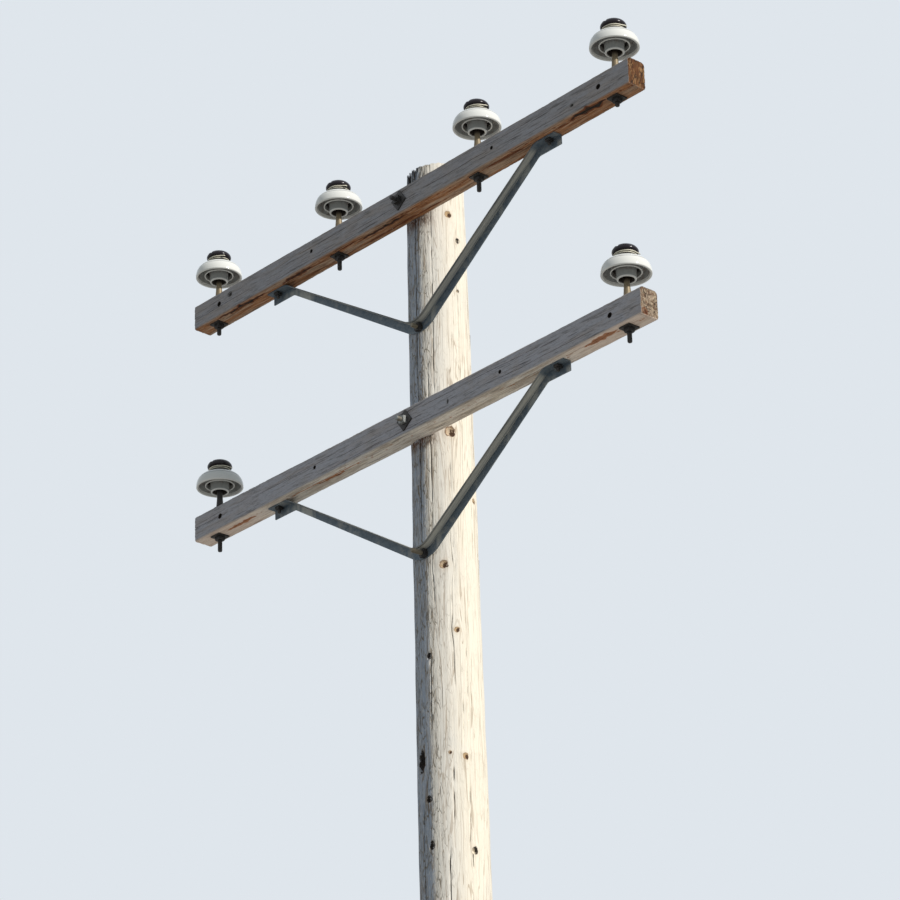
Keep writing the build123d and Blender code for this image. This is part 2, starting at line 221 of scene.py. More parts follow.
def size_setting(label, note, value):
    """A length in metres."""
    return FloatProperty(name=label, description=note, default=value, unit="LENGTH")


def angle_setting(label, note, degrees):
    """An angle, given in degrees."""
    return FloatProperty(name=label, description=note, default=math.radians(degrees), subtype="ANGLE")


def count_setting(label, note, value, lowest):
    """A whole number."""
    return IntProperty(name=label, description=note, default=value, min=lowest)


def colour_setting(label, note, value):
    """A colour."""
    return FloatVectorProperty(name=label, description=note, default=value, subtype="COLOR", min=0.0, max=1.0)


class PoleShape(bpy.types.PropertyGroup):
    """Sizes of the round timber's surface."""

    check_depth: size_setting("Check depth", "Depth of a full check", 0.0055)
    check_width: size_setting("Check width", "Width of a full check", 0.0072)
    fibre_depth: size_setting("Fibre relief", "Depth between raised fibres", 0.0011)
    wander: size_setting("Grain wander", "How far the grain strays sideways", 0.007)
    top_wear: size_setting("Top wear", "Height lost where the top's rim has split away", 0.030)
    columns: count_setting("Columns", "Even columns round the surface", 126, 24)
    seen_rows: count_setting("Upper rows", "Rows over the upper third", 250, 20)
    foot_rows: count_setting("Lower rows", "Rows below that", 96, 20)


class ArmShape(bpy.types.PropertyGroup):
    """Sizes of the sawn crossarms' surface."""

    check_depth: size_setting("Check depth", "Depth of a full check", 0.007)
    check_width: size_setting("Check width", "Width of a full check", 0.0032)
    fibre_depth: size_setting("Fibre relief", "Depth between raised fibres", 0.0007)
    end_relief: size_setting("End relief", "Depth of the weathered end grain", 0.0028)
    columns: count_setting("Columns", "Even columns round an arm", 118, 24)
    rows: count_setting("Rows", "Rows along an arm", 330, 40)


class HardwareShape(bpy.types.PropertyGroup):
    """Sizes of threads and tie wire."""

    thread_pitch: size_setting("Thread pitch", "Advance of the thread per turn", 0.0024)
    thread_depth: size_setting("Thread depth", "Height of the thread's ridge", 0.0011)
    tie_wire: size_setting("Tie wire", "Radius of the tie wire", 0.0021)
    neck_radius: size_setting("Neck radius", "Radius of an insulator's neck", 0.0365)
    neck_height: size_setting("Neck height", "Height of the neck above the rim", 0.0705)


class PoleColours(bpy.types.PropertyGroup):
    """Colours of the timber, porcelain and metal."""

    bleached: colour_setting("Bleached wood", "Sun-bleached surface of the pole", (0.99, 0.91, 0.765))
    # Also the pole's side away from the lamp: partly weathering, partly painted shade, tinted blue like
    # shade.
    silvered_and_shade: colour_setting("Silvered wood", "Grey weathered wood of the pole", (0.47, 0.53, 0.62))
    fibre: colour_setting("Fibre", "Darker fibres of the pole", (0.30, 0.25, 0.19))
    fibre_pale: colour_setting("Warm fibre", "Warmer bands of the pole", (0.74, 0.60, 0.42))
    # Painted light: a paler cream laid on the pole where the lamp's light falls at a slant.
    painted_light_cream: colour_setting("Chalky wood", "Palest wood of the pole", (0.99, 0.94, 0.85))
    grain_line: colour_setting("Grain line", "Brown grain lines of the pole", (0.36, 0.25, 0.15))
    crack: colour_setting("Check", "Inside of a check", (0.030, 0.024, 0.020))
    amber: colour_setting("Amber", "Resin colour round a knot", (0.46, 0.265, 0.085))
    knot: colour_setting("Knot", "Bark and middle of a knot", (0.13, 0.055, 0.025))
    arm_grey: colour_setting("Arm grey", "Weathered faces of the upper crossarm", (0.43, 0.415, 0.43))
    arm_pale: colour_setting("Arm pale grey", "Weathered faces of the lower crossarm", (0.53, 0.52, 0.555))
    arm_dark: colour_setting("Arm dark", "Dark fibres of the crossarms", (0.13, 0.125, 0.12))
    arm_tan: colour_setting("Arm tan", "Less weathered wood of the crossarms", (0.46, 0.36, 0.27))
    arm_rust: colour_setting("Arm brown", "Orange-brown wood under the upper arm", (0.41, 0.185, 0.082))
    belly_tan: colour_setting("Belly tan", "Pale wood under the lower arm", (0.86, 0.79, 0.71))
    belly_pink: colour_setting("Belly pink", "Pinker wood under the lower arm's ends", (0.92, 0.67, 0.53))
    belly_pale: colour_setting("Belly streaks", "Paler streaks under the upper arm", (0.62, 0.44, 0.31))
    pocket: colour_setting("Pocket", "Resin pockets under the upper arm", (0.17, 0.050, 0.018))
    pocket_pale: colour_setting("Pale pocket", "Resin pockets under the lower arm", (0.44, 0.15, 0.045))
    arm_end: colour_setting("End grain", "Pale wood of the lower arm's cut ends", (0.28, 0.21, 0.15))
    end_orange: colour_setting("Orange end grain", "Wood of the upper arm's cut ends", (0.17, 0.076, 0.031))
    end_pale: colour_setting("Pale end grain", "Raised streaks of the cut ends", (0.34, 0.195, 0.092))
    zinc: colour_setting("Zinc", "Dull galvanised steel", (0.106, 0.144, 0.182))
    zinc_pale: colour_setting("Pale zinc", "Lighter patches of the galvanising", (0.30, 0.31, 0.30))
    # Painted light on the braces' flange, and pale runs along their legs.
    zinc_light_and_runs: colour_setting("Edge zinc", "Worn open edge of the braces", (0.56, 0.55, 0.49))
    steel_pale: colour_setting("Pale steel", "Worn nuts of the lower arm", (0.66, 0.66, 0.64))
    steel_stained: colour_setting("Stained steel", "Stained bolts of the braces", (0.20, 0.17, 0.12))
    steel_straw: colour_setting("Straw steel", "Worn patches of the stained bolts", (0.56, 0.52, 0.43))
    steel_dark: colour_setting("Dark steel", "Washers and nuts", (0.040, 0.037, 0.035))
    rust: colour_setting("Rust", "Rust on steel", (0.19, 0.085, 0.040))
    pin_tan: colour_setting("Pin tan", "Weathered insulator pins", (0.25, 0.195, 0.12))
    pin_pale: colour_setting("Pin pale", "Worn patches of the pins", (0.38, 0.325, 0.22))
    white_glaze: colour_setting("White glaze", "Porcelain's pale glaze", (0.87, 0.87, 0.83))
    dust: colour_setting("Dust", "Grey dust on the white glaze", (0.55, 0.54, 0.50))
    speckle: colour_setting("Speckle", "Brown specks on the white glaze", (0.42, 0.38, 0.33))
    # Partly dirt, partly painted shade inside the porcelain.
    grime_and_shade: colour_setting("Grime", "Dirt inside the porcelain", (0.145, 0.160, 0.165))
    # Near-black: painted shade in the bores and up inside the insulators, partly stain.
    bore: colour_setting("Bore", "Stained bore of the porcelain", (0.030, 0.022, 0.016))
    brown_glaze: colour_setting("Brown glaze", "Porcelain's dark crown", (0.010, 0.006, 0.009))
    brown_dust: colour_setting("Crown dust", "Dust on the dark crown", (0.026, 0.015, 0.014))
    wire: colour_setting("Tie wire", "Aluminium tie wire", (0.76, 0.72, 0.58))
    wire_dirt: colour_setting("Wire dirt", "Dirt on the tie wire", (0.2, 0.19, 0.17))
    floor: colour_setting("Floor", "Plain floor", (0.80, 0.80, 0.79))
    bounce: colour_setting("Floor bounce", "Floor as the light from it falls on the pole", (0.48, 0.47, 0.45))
    backdrop: colour_setting("Backdrop", "Plain background", (0.74, 0.79, 0.84))


class StageSettings(bpy.types.PropertyGroup):
    """Light."""

    key: FloatProperty(name="Key light", description="Strength of the main lamp", default=3.15, min=0.0)
    fill: FloatProperty(name="Fill light", description="Strength of the even light", default=0.29, min=0.0)
    key_colour: colour_setting("Key colour", "Colour of the main lamp", (1.0, 0.97, 0.92))
    fill_colour: colour_setting("Fill colour", "Colour of the light from all round", (0.80, 0.91, 1.0))
    key_size: angle_setting("Key softness", "Width of the main lamp as seen from the pole", 3)
    key_side: angle_setting("Key direction", "Direction of the main lamp round the pole from +X", 8)
    key_height: angle_setting("Key height", "Height of the main lamp above the horizon", 32)


def settings(name):
    """One of the add-on's property groups on the open scene."""
    return getattr(bpy.context.scene, name)


# Surfaces.


def ring_quads(ring, after):
    """Quads that join rings of point numbers to the rings after them, round to the first column again.

    Columns that turn anticlockwise and rings that go up give faces that point outwards.
    """
    return np.stack([ring, np.roll(ring, -1, -1), np.roll(after, -1, -1), after], -1).reshape(-1, 4)


def tube_faces(rows, columns):
    """Quads of a tube with both ends closed by a ladder of quads across the ring, which has an even count."""
    rings = np.arange(rows * columns).reshape(rows, columns)
    rung = np.arange(columns // 2 - 1)
    ladder = np.stack([rung, rung + 1, columns - 2 - rung, columns - 1 - rung], -1)
    return np.concatenate([ring_quads(rings[:-1], rings[1:]), ladder[:, ::-1], ladder + (rows - 1) * columns])


class Skin:
    """Collects a timber's points with their grain places and masks, and the faces between rings of them."""

    def __init__(self, *labels):
        self.points = []
        self.grain = []
        self.masks = {label: [] for label in labels}
        self.quads = []
        self.triangles = []
        self.count = 0

    def add(self, points, grain, **masks):
        """Adds an array of points and gives their numbers. A mask that isn't given is 0 there."""
        self.points.append(points.reshape(-1, 3))
        self.grain.append(grain.reshape(-1, 3))
        shape = points.shape[:-1]
        for label, values in self.masks.items():
            values.append(np.broadcast_to(masks.get(label, 0.0), shape).ravel())
        numbers = np.arange(self.count, self.count + math.prod(shape)).reshape(shape)
        self.count += numbers.size
        return numbers

    def join(self, ring, after, upwards=True):
        """Quads from rings up to the next ones, or down to them, that point outwards."""
        quads = ring_quads(ring, after)
        self.quads.append(quads if upwards else quads[:, ::-1])

    def close(self, ring, centre, grain, upwards=True):
        """Triangles from a ring to one point in the middle of a cut end that faces up or down."""
        middle = self.add(np.array([centre], float), np.array([grain], float), cut_end=1.0)
        sides = (ring, np.roll(ring, -1)) if upwards else (np.roll(ring, -1), ring)
        self.triangles.append(np.stack([*sides, np.full(len(ring), middle[0])], -1))

    def surface(self):
        """All the points, both sets of faces and the attributes."""
        attributes = {label: np.concatenate(values) for label, values in self.masks.items()}
        attributes["grain"] = np.concatenate(self.grain)
        faces = [np.concatenate(self.quads), np.concatenate(self.triangles)]
        return np.concatenate(self.points), faces, attributes


def make_surface(name, points, face_sets, material, attributes=None):
    """A smooth mesh object at the origin from arrays of points and faces, riding on the part's body."""
    mesh = bpy.data.meshes.new(name)
    lengths = np.concatenate([np.full(len(faces), faces.shape[1]) for faces in face_sets])
    loops = np.concatenate([faces.ravel() for faces in face_sets])
    starts = np.concatenate([[0], np.cumsum(lengths)[:-1]])
    mesh.vertices.add(len(points))
    mesh.vertices.foreach_set("co", np.ascontiguousarray(points, np.float32).ravel())
    mesh.loops.add(len(loops))
    mesh.loops.foreach_set("vertex_index", loops.astype(np.int32))
    mesh.polygons.add(len(lengths))
    mesh.polygons.foreach_set("loop_start", starts.astype(np.int32))
    mesh.update(calc_edges=True)
    mesh.polygons.foreach_set("use_smooth", np.ones(len(lengths), bool))
    for label, values in (attributes or {}).items():
        kind, field = ("FLOAT_VECTOR", "vector") if values.ndim == 2 else ("FLOAT", "value")
        values = np.ascontiguousarray(values, np.float32).ravel()
        mesh.attributes.new(label, kind, "POINT").data.foreach_set(field, values)
    mesh.validate()
    piece = bpy.data.objects.new(name, mesh)
    bpy.context.scene.collection.objects.link(piece)
    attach(piece, "root")
    mesh.materials.append(material)
    return piece


def waves(u, v, seed, count, longest, shortest):
    """Smooth noise of two parameters between about -1 and 1: a sum of sines of random direction and phase."""
    random = np.random.default_rng(seed)
    total = np.zeros(np.broadcast(u, v).shape)
    for length in np.geomspace(longest, shortest, count):
        heading = random.uniform(0, TURN)
        phase = random.uniform(0, TURN)
        total = total + np.sin(TURN * (u * math.cos(heading) + v * math.sin(heading)) / length + phase)
    return total / math.sqrt(count)


def ease(value, low, high):
    """0 below low, 1 above high and a smooth step between."""
    t = np.clip((value - low) / (high - low), 0.0, 1.0)
    return t * t * (3.0 - 2.0 * t)


def aside(angle, degrees):
    """Angles from a direction in degrees, wrapped to half a turn either way."""
    return (angle - math.radians(degrees) + math.pi) % TURN - math.pi


def groove_columns(even, marks, half_widths, clear):
    """Even column places, less those within some half widths of a mark, and three close columns at each mark.

    Gives the places, the mark that a column belongs to (-1 for none) and its share of the mark's depth.
    """
    near = (np.abs(even[:, None] - marks) < half_widths * clear).any(1)
    kept = even[~near]
    index = np.arange(len(marks))
    places = np.concatenate([kept, marks - half_widths, marks, marks + half_widths])
    owner = np.concatenate([np.full(len(kept), -1), index, index, index])
    share = np.concatenate([np.zeros(len(kept)), 0 * marks, 0 * marks + 1, 0 * marks])
    order = np.argsort(places)
    return places[order], owner[order], share[order]


def fibre_relief(columns, along, seed):
    """0 to 1 relief of raised fibres: each column's own height, which changes slowly along the grain."""
    random = np.random.default_rng(seed)
    first, second = random.uniform(0, 1, (2, columns))
    phase = random.uniform(0, TURN, columns)
    pace = random.uniform(0.7, 1.6, columns)
    blend = 0.5 + 0.5 * np.sin(TURN * pace * along / 0.55 + phase)
    return first * blend + second * (1.0 - blend)


def pole_top_r():
    """The pole's radius just under its rounded top edge, measured from its packed vertices."""
    mesh = frame["nodes"]["pole"].data
    shell = np.zeros(3 * len(mesh.vertices), np.float32)
    mesh.vertices.foreach_get("co", shell)
    x, y, z = shell.reshape(-1, 3).astype(float).T
    shoulder = (z > POLE_TOP - 0.012) & (z < POLE_TOP - 0.003)
    return np.hypot(x, y)[shoulder].max()


def pole_levels(shape, flats):
    """Heights of the pole's rows: even ones, and more at flats' edges, at knots and over the rounded top."""
    foot = np.linspace(0, CLOSE_ROWS_FROM, shape.foot_rows)
    seen = np.linspace(CLOSE_ROWS_FROM, POLE_TOP - CROWN_LENGTH, shape.seen_rows)
    edges = [z + step for flat in flats for z in flat[:2] for step in (-0.0006, 0.0006)]
    pits = [z + step * r * tall for _, z, r, tall, _ in KNOTS for step in (-1.0, -0.4, 0.4, 1.0)]
    crown = POLE_TOP - CROWN_LENGTH + CROWN_LENGTH * np.linspace(0, 1, 15) ** 0.8
    return np.unique(np.round(np.concatenate([foot, seen, edges, pits, crown]), 5))


def pole_checks(shape, z, owner, share):
    """How open each point's check is: a window along the check's length, times a slow ripple of its depth.

    Gives that share for each point and the depth of each column's check.
    """
    _, begins, ends, depth = np.array(CHECKS).T
    fade = np.minimum(0.12, 0.25 * (ends - begins))
    runs_out = ends > POLE_TOP - 0.02
    window = ease(z, begins, begins + fade) * np.maximum(1 - ease(z, ends - fade, ends), runs_out)
    ripple = 0.70 + 0.55 * waves(begins * 3.0, z, 6, 5, 0.6, 0.07)
    groove = window * np.clip(ripple, np.where(depth > 0.99, 0.7, 0.0), 1.15)
    return np.where(owner >= 0, groove[:, owner] * share, 0.0), depth[owner]


def close_pole(skin, foot, rim, points, angle):
    """Closes the top by shrinking copies of its rim, sunk along radial splits, and the foot by a flat fan."""
    splits = np.abs(np.sin(angle * 5.0 + 1.0)) ** 24 + np.abs(np.sin(angle * 3.5 + 0.3)) ** 40
    x, y, z = points.T
    for scale in np.linspace(0.93, 0.10, 11):
        sunk = 0.006 * splits * ease(scale, 0.1, 0.6) + 0.0012 * np.sin(scale * 70.0) + 0.001
        level = z * scale + (POLE_TOP - 0.004) * (1 - scale) - sunk
        layer = np.stack([x * scale, y * scale, level], -1)
        grain = np.stack([x * scale, y * scale, 0 * x + POLE_TOP], -1)
        after = skin.add(layer, grain, check=np.clip(splits, 0, 1) * ease(scale, 0.1, 0.5), cut_end=1.0)
        skin.join(rim, after)
        rim = after
    skin.close(rim, (0, 0, POLE_TOP - 0.006), (0, 0, POLE_TOP))
    skin.close(foot, (0, 0, 0), (0, 0, 0), False)


def pole_surface(shape):
    """The pole's skin: radius as a function of angle and height.

    The radius is the taper line, less a slow wave that makes it out of round, less fibres, checks and pits at
    knots. The gains and washer seats then cut it flat: y is held between the arm's back and the washer seat.
    """
    flats = [(low[2], high[2], high[1] + SKIN_GAP, np.maximum) for low, high in ARM.values()]
    for low, high in SEATS:
        flats.append((low[2] - SEAT_MARGIN, high[2] + SEAT_MARGIN, low[1] - SKIN_GAP, np.minimum))
    z = pole_levels(shape, flats)[:, None]
    top_r = pole_top_r()
    mean_r = 0.5 * (POLE_FOOT_R + top_r)
    taper = POLE_FOOT_R + (top_r - POLE_FOOT_R) * z / POLE_TOP
    even = np.linspace(-math.pi, math.pi, shape.columns, endpoint=False)
    marks = np.radians([mark[0] for mark in CHECKS])
    angle, owner, share = groove_columns(even, marks, 0.5 * shape.check_width / mean_r, 1.8)
    arc = mean_r * angle

    stray = 0.6 * waves(0 * arc, z, 3, 3, 5.0, 1.2) + 0.4 * waves(arc, z, 4, 3, 1.6, 0.5)
    turn = angle + shape.wander * stray / mean_r
    for degrees, level, r, tall, _ in KNOTS:
        side = aside(turn, degrees)
        reach = (side * taper / (2.2 * r)) ** 2 + ((z - level) / (3.2 * r * tall)) ** 2
        turn = turn + 0.55 * side * np.exp(-reach)

    check, depth = pole_checks(shape, z, owner, share)
    inset = np.clip(0.0012 + 0.0011 * waves(arc, z, 7, 5, 1.3, 0.22), 0, None)
    inset = inset + shape.fibre_depth * fibre_relief(len(angle), z, 8) + check * depth * shape.check_depth
    check = check * np.clip(1.4 * depth, 0, 1)
    for degrees, level, r, tall, hollow in KNOTS:
        gap = np.hypot(aside(turn, degrees) * taper / r, (z - level) / (r * tall))
        pit = (0.0015 + 0.012 * hollow) * (1 - ease(gap, 0.45, 1.0))
        inset = inset + pit - 0.0012 * np.exp(-((gap - 1.25) / 0.4) ** 2)

    ragged = waves(arc * 9.0, 0 * arc, 9, 4, 0.5, 0.06)
    facing = 1 - ease(np.abs(aside(angle, SPLIT_SIDE)), 0.35, 0.95)
    worn = 0.10 * (1 + waves(arc * 3.0, 0 * arc, 10, 3, 0.6, 0.1)) + facing * np.clip(0.5 + ragged, 0, 1.3)
    near_top = ease(z, POLE_TOP - 0.20, POLE_TOP)
    rise = z - shape.top_wear * worn * near_top**2
    inset = inset + 0.004 * near_top**6 * (1.0 + facing * 1.6 * np.clip(ragged, 0, 1))
    notch = facing * ease(ragged, 0.05, 0.55) * ease(z, POLE_TOP - 0.075, POLE_TOP - 0.02)
    check = np.maximum(check, 0.95 * notch)

    radius = taper - np.clip(inset, 0, None)
    x = radius * np.cos(turn)
    y = radius * np.sin(turn)
    for bottom, top, plane, held in flats:
        y = np.where((rise > bottom) & (rise < top), held(y, plane), y)

    skin = Skin("check", "cut_end")
    points = np.stack([x, y, rise], -1)
    grain = np.stack([mean_r * np.cos(angle) + 0 * z, mean_r * np.sin(angle) + 0 * z, z + 0 * angle], -1)
    rings = skin.add(points, grain, check=check)
    skin.join(rings[:-1], rings[1:])
    close_pole(skin, rings[0], rings[-1], points[-1], angle)
    return skin.surface()


# Long checks of the crossarms: face, share of the way across it, first and last x, depth and width as shares.
ARM_CHECKS = {
    "upper": (
        ("front", 0.50, 0.10, 0.50, 1.0, 1.2),
        ("front", 0.30, -0.62, -0.16, 0.6, 0.8),
        ("front", 0.66, -0.30, 0.16, 0.7, 0.8),
        ("front", 0.24, 0.44, 0.93, 0.6, 0.8),
        ("front", 0.75, 0.66, 1.17, 0.8, 0.9),
        ("front", 0.58, -1.20, -0.86, 0.8, 0.9),
        ("front", 0.84, -0.80, -0.10, 0.7, 0.8),
        ("under", 0.26, -1.06, -0.82, 1.4, 2.6),
        ("under", 0.22, 0.80, 1.07, 1.5, 3.0),
        ("under", 0.18, 0.43, 0.66, 1.1, 2.0),
        ("under", 0.20, -0.33, 0.10, 1.0, 1.6),
        ("under", 0.70, -0.60, 0.20, 0.6, 0.8),
        ("back", 0.40, -1.00, -0.20, 0.9, 1.0),
        ("back", 0.62, 0.15, 1.05, 0.9, 1.0),
        ("back", 0.22, 0.40, 1.21, 0.7, 0.9),
        ("top", 0.30, -1.21, -0.30, 1.0, 1.2),
        ("top", 0.66, -0.50, 0.70, 1.0, 1.2),
        ("top", 0.45, 0.55, 1.21, 1.0, 1.2),
    ),
    "lower": (
        ("front", 0.36, -0.90, -0.42, 0.7, 0.8),
        ("front", 0.55, -0.38, 0.02, 0.8, 0.9),
        ("front", 0.22, 0.05, 0.72, 0.6, 0.8),
        ("front", 0.70, 0.48, 1.02, 0.8, 0.9),
        ("front", 0.86, -0.50, 0.30, 0.7, 0.8),
        ("front", 0.44, -1.21, -1.00, 0.9, 1.0),
        ("under", 0.30, -1.02, -0.88, 1.3, 2.4),
        ("under", 0.24, 0.84, 1.02, 1.4, 2.6),
        ("under", 0.24, -0.56, -0.36, 1.0, 1.8),
        ("under", 0.62, -0.10, 0.60, 0.6, 0.8),
        ("back", 0.34, -1.21, -0.35, 0.9, 1.0),
        ("back", 0.58, -0.15, 0.80, 0.9, 1.0),
        ("top", 0.36, -0.90, 0.20, 1.0, 1.2),
        ("top", 0.62, 0.10, 1.21, 1.0, 1.2),
        ("top", 0.20, -1.21, -0.60, 0.8, 1.0),
    ),
}
FACES = ("back", "back_top", "top", "front_top", "front", "front_foot", "under", "back_foot")
UNDER_SHARE = {"front_foot": 0.6, "under": 1.0, "back_foot": 0.6}

# Resin pockets under the crossarms: share of the way back, first and last x, half width and darkness.
ARM_POCKETS = {
    "upper": (
        (0.13, -1.09, -0.80, 0.010, 1.0),
        (0.20, -0.71, -0.52, 0.012, 0.9),
        (0.14, -0.37, -0.27, 0.005, 0.8),
        (0.28, -0.25, 0.02, 0.008, 1.0),
        (0.24, 0.44, 0.66, 0.006, 0.7),
        (0.32, 0.80, 0.95, 0.005, 0.8),
        (0.20, 0.90, 1.09, 0.017, 1.0),
        (0.75, -0.30, 0.25, 0.006, 0.4),
    ),
    "lower": (
        (0.34, -1.06, -0.89, 0.010, 0.75),
        (0.40, -0.52, -0.38, 0.006, 0.9),
        (0.30, -0.70, -0.24, 0.004, 0.45),
        (0.24, 0.91, 1.08, 0.014, 0.8),
    ),
}


def arm_outline(half_w, half_h):
    """Corners of an arm's section, anticlockwise seen from the +X end, distances round it and side normals.

    Each side's outward normal is its direction turned a quarter clockwise.
    """
    top, foot = ARM_TOP_EDGE, ARM_FOOT_EDGE
    corner = np.array([
        (half_w, -half_h + foot),
        (half_w, half_h - top),
        (half_w - top, half_h),
        (-half_w + top, half_h),
        (-half_w, half_h - top),
        (-half_w, -half_h + foot),
        (-half_w + foot, -half_h),
        (half_w - foot, -half_h),
        (half_w, -half_h + foot),
    ])
    side = np.diff(corner, axis=0)
    length = np.hypot(side[:, 0], side[:, 1])
    normal = np.stack([side[:, 1], -side[:, 0]], -1) / length[:, None]
    return corner, np.concatenate([[0], np.cumsum(length)]), normal


def arm_pockets(tier, x, place, reach):
    """A mask of dark lens shapes under the arm: half a wave of x to a power is the half width of each."""
    pocket = np.zeros((len(x), len(place)))
    begins, ends = reach[FACES.index("under"):][:2]
    for share, first, last, half_width, dark in ARM_POCKETS[tier]:
        run = np.clip((x - first) / (last - first), 0, 1)
        wobble = 0.25 * half_width * waves(0 * run, x, int(900 * (first + 2)), 4, 0.16, 0.03)
        uneven = 1 + 0.3 * waves(0 * run, x, 31, 4, 0.1, 0.015)
        lens = np.clip(half_width * (1e-4 + np.sin(math.pi * run) ** 0.7) * uneven, 1e-4, None)
        gap = np.abs(place - begins - (ends - begins) * share - wobble) / lens
        pocket = np.maximum(pocket, dark * (1 - ease(gap, 0.35, 1.15)))
    return pocket


def close_arm(skin, ring, points, sign, half_length, relief):
    """Closes a cut end by shrinking copies of its rim, sunk along X where the soft growth rings have worn.

    The growth rings are a sine of the distance across the end, which rises and bends a little upwards.
    """
    x, y, z = points.T
    for scale in (0.965, 0.9, 0.82, 0.74, 0.66, 0.57, 0.48, 0.39, 0.30, 0.21, 0.12):
        ly = y * scale
        lz = z * scale
        rings = ly + 0.10 * lz + 0.0035 * waves(0.4 * ly, lz, 28, 4, 0.09, 0.02)
        worn = 0.5 + 0.5 * np.sin(TURN * rings / 0.0105)
        crack = np.exp(-((rings + 0.013) / 0.0018) ** 2) * ease(lz, -0.02, 0.03)
        sunk = relief * (0.2 + 0.6 * worn) + 0.004 * crack * ease(1 - scale, 0.05, 0.2)
        lx = x * scale + sign * half_length * (1 - scale) - sign * sunk * ease(1 - scale, 0.0, 0.1)
        grain = np.stack([ly, lz, 0 * lx + sign * half_length], -1)
        after = skin.add(np.stack([lx, ly, lz], -1), grain, check=0.8 * crack, cut_end=1.0)
        skin.join(ring, after, sign > 0)
        ring = after
    skin.close(ring, (sign * (half_length - 0.002), 0, 0), (0, 0, sign * half_length), sign > 0)


def arm_surface(tier, shape):
    """A crossarm's skin: the sawn section carried along X, less saw marks, fibres, checks and chips."""
    low, high = ARM[tier]
    half = 0.5 * (high - low)
    corner, reach, normal = arm_outline(half[1], half[2])
    names, across, first, last, depth, width = (np.array(values) for values in zip(*ARM_CHECKS[tier]))
    face = np.array([FACES.index(name) for name in names])
    marks = reach[face] + across * (reach[face + 1] - reach[face])
    even = np.linspace(0, reach[-1], shape.columns, endpoint=False)
    even = even[np.abs(even[:, None] - reach).min(1) >= 0.0012]
    even = np.concatenate([even, reach[:-1]])
    place, owner, share = groove_columns(even, marks, 0.5 * shape.check_width * width, 1.6)
    side = np.clip(np.searchsorted(reach, place + 1e-7, side="right") - 1, 0, len(FACES) - 1)
    x = np.linspace(-half[0] + 0.02, half[0] - 0.02, shape.rows)
    x = np.concatenate([-half[0] + ARM_END_ROWS, x, half[0] - ARM_END_ROWS[::-1]])[:, None]

    depth = depth * shape.check_depth
    runs_in, runs_out = (np.abs(end) > half[0] - 0.03 for end in (first, last))
    window = np.maximum(ease(x, first, first + 0.07), runs_in)
    window = window * np.maximum(1 - ease(x, last - 0.07, last), runs_out)
    window = window * np.clip(0.8 + 0.25 * waves(first * 5, x, 21, 4, 0.3, 0.04), 0.3, 1.2)
    check = np.where(owner >= 0, window[:, owner] * share, 0.0)

    corner_gap = np.abs(place[:, None] - reach).min(1)
    edge = 1 - ease(corner_gap, 0.0, 0.006)
    inset = 0.0003 + 0.0004 * np.clip(waves(place, x, 22, 5, 0.6, 0.05), 0, None)
    inset = inset + shape.fibre_depth * fibre_relief(len(place), x, 23 if tier == "upper" else 24)
    inset = inset + 0.0014 * edge * np.clip(waves(place * 0.2, x, 25, 6, 0.5, 0.02), 0, None)
    inset = inset + check * depth[owner]
    flat_y, flat_z = (np.interp(place, reach, values) for values in corner.T)
    stray = 0.0018 * waves(place * 0.3, x, 26, 4, 1.4, 0.25) * ease(corner_gap, 0.002, 0.02)
    y = flat_y - normal[side, 0] * inset - normal[side, 1] * stray
    z = flat_z - normal[side, 1] * inset + normal[side, 0] * stray

    ragged = np.clip(waves(place * 6.0, 0 * x, 27, 5, 0.5, 0.05), 0, 1)
    front_top = np.exp(-(((flat_y + half[1]) / 0.022) ** 2 + ((flat_z - half[2]) / 0.026) ** 2))
    chip = 0.0012 * ragged + 0.004 * front_top * ragged + 0.0012 * edge
    along = x - np.sign(x) * chip * ease(np.abs(x), half[0] - 0.016, half[0])

    under = np.array([UNDER_SHARE.get(name, 0.0) for name in FACES])[side]
    pocket = arm_pockets(tier, x, place, reach)
    skin = Skin("check", "cut_end", "under", "edge", "pocket")
    points = np.stack([along, y, z], -1)
    grain = np.stack(np.broadcast_arrays(flat_y, flat_z, x), -1)
    rings = skin.add(points, grain, check=check, under=under, edge=edge, pocket=pocket)
    skin.join(rings[:-1], rings[1:])
    close_arm(skin, rings[-1], points[-1], 1.0, half[0], shape.end_relief)
    close_arm(skin, rings[0], points[0], -1.0, half[0], shape.end_relief)
    points, faces, attributes = skin.surface()
    return points + 0.5 * (low + high), faces, attributes


def thread_surface(length, shape):
    """A bolt's thread from z = 0 to z = length, with closed ends.

    Its radius is a ridge whose height is a cosine of turns less distance over pitch, and fades at both ends.
    """
    sides = 20
    pitch = shape.thread_pitch
    rows = max(8, int(length / pitch * 6))
    level = np.linspace(0, length, rows)[:, None]
    share = np.arange(sides) / sides
    ridge = (0.5 + 0.5 * np.cos(TURN * (level / pitch - share))) ** 0.7
    fade = ease(level, 0, 0.5 * pitch) * (1 - ease(level, length - 1.2 * pitch, length))
    radii = BOLT_RADIUS - 0.0003 + shape.thread_depth * ridge * fade
    points = np.stack([radii * np.cos(TURN * share), radii * np.sin(TURN * share), level + 0 * radii], -1)
    return points.reshape(-1, 3), tube_faces(rows, sides)


def stand(points, axis, place):
    """Points made about +Z, turned so that Z points along the axis, and moved to the place."""
    toward = {"-Y": ((1, 0, 0), (0, 0, 1), (0, -1, 0)), "-Z": ((1, 0, 0), (0, -1, 0), (0, 0, -1))}[axis]
    return points @ np.array(toward, float) + np.array(place)


def joined(pieces):
    """One set of points and faces from several."""
    points = np.concatenate([p for p, _ in pieces])
    offsets = np.cumsum([0] + [len(p) for p, _ in pieces])[:-1]
    return points, np.concatenate([f + n for (_, f), n in zip(pieces, offsets)])


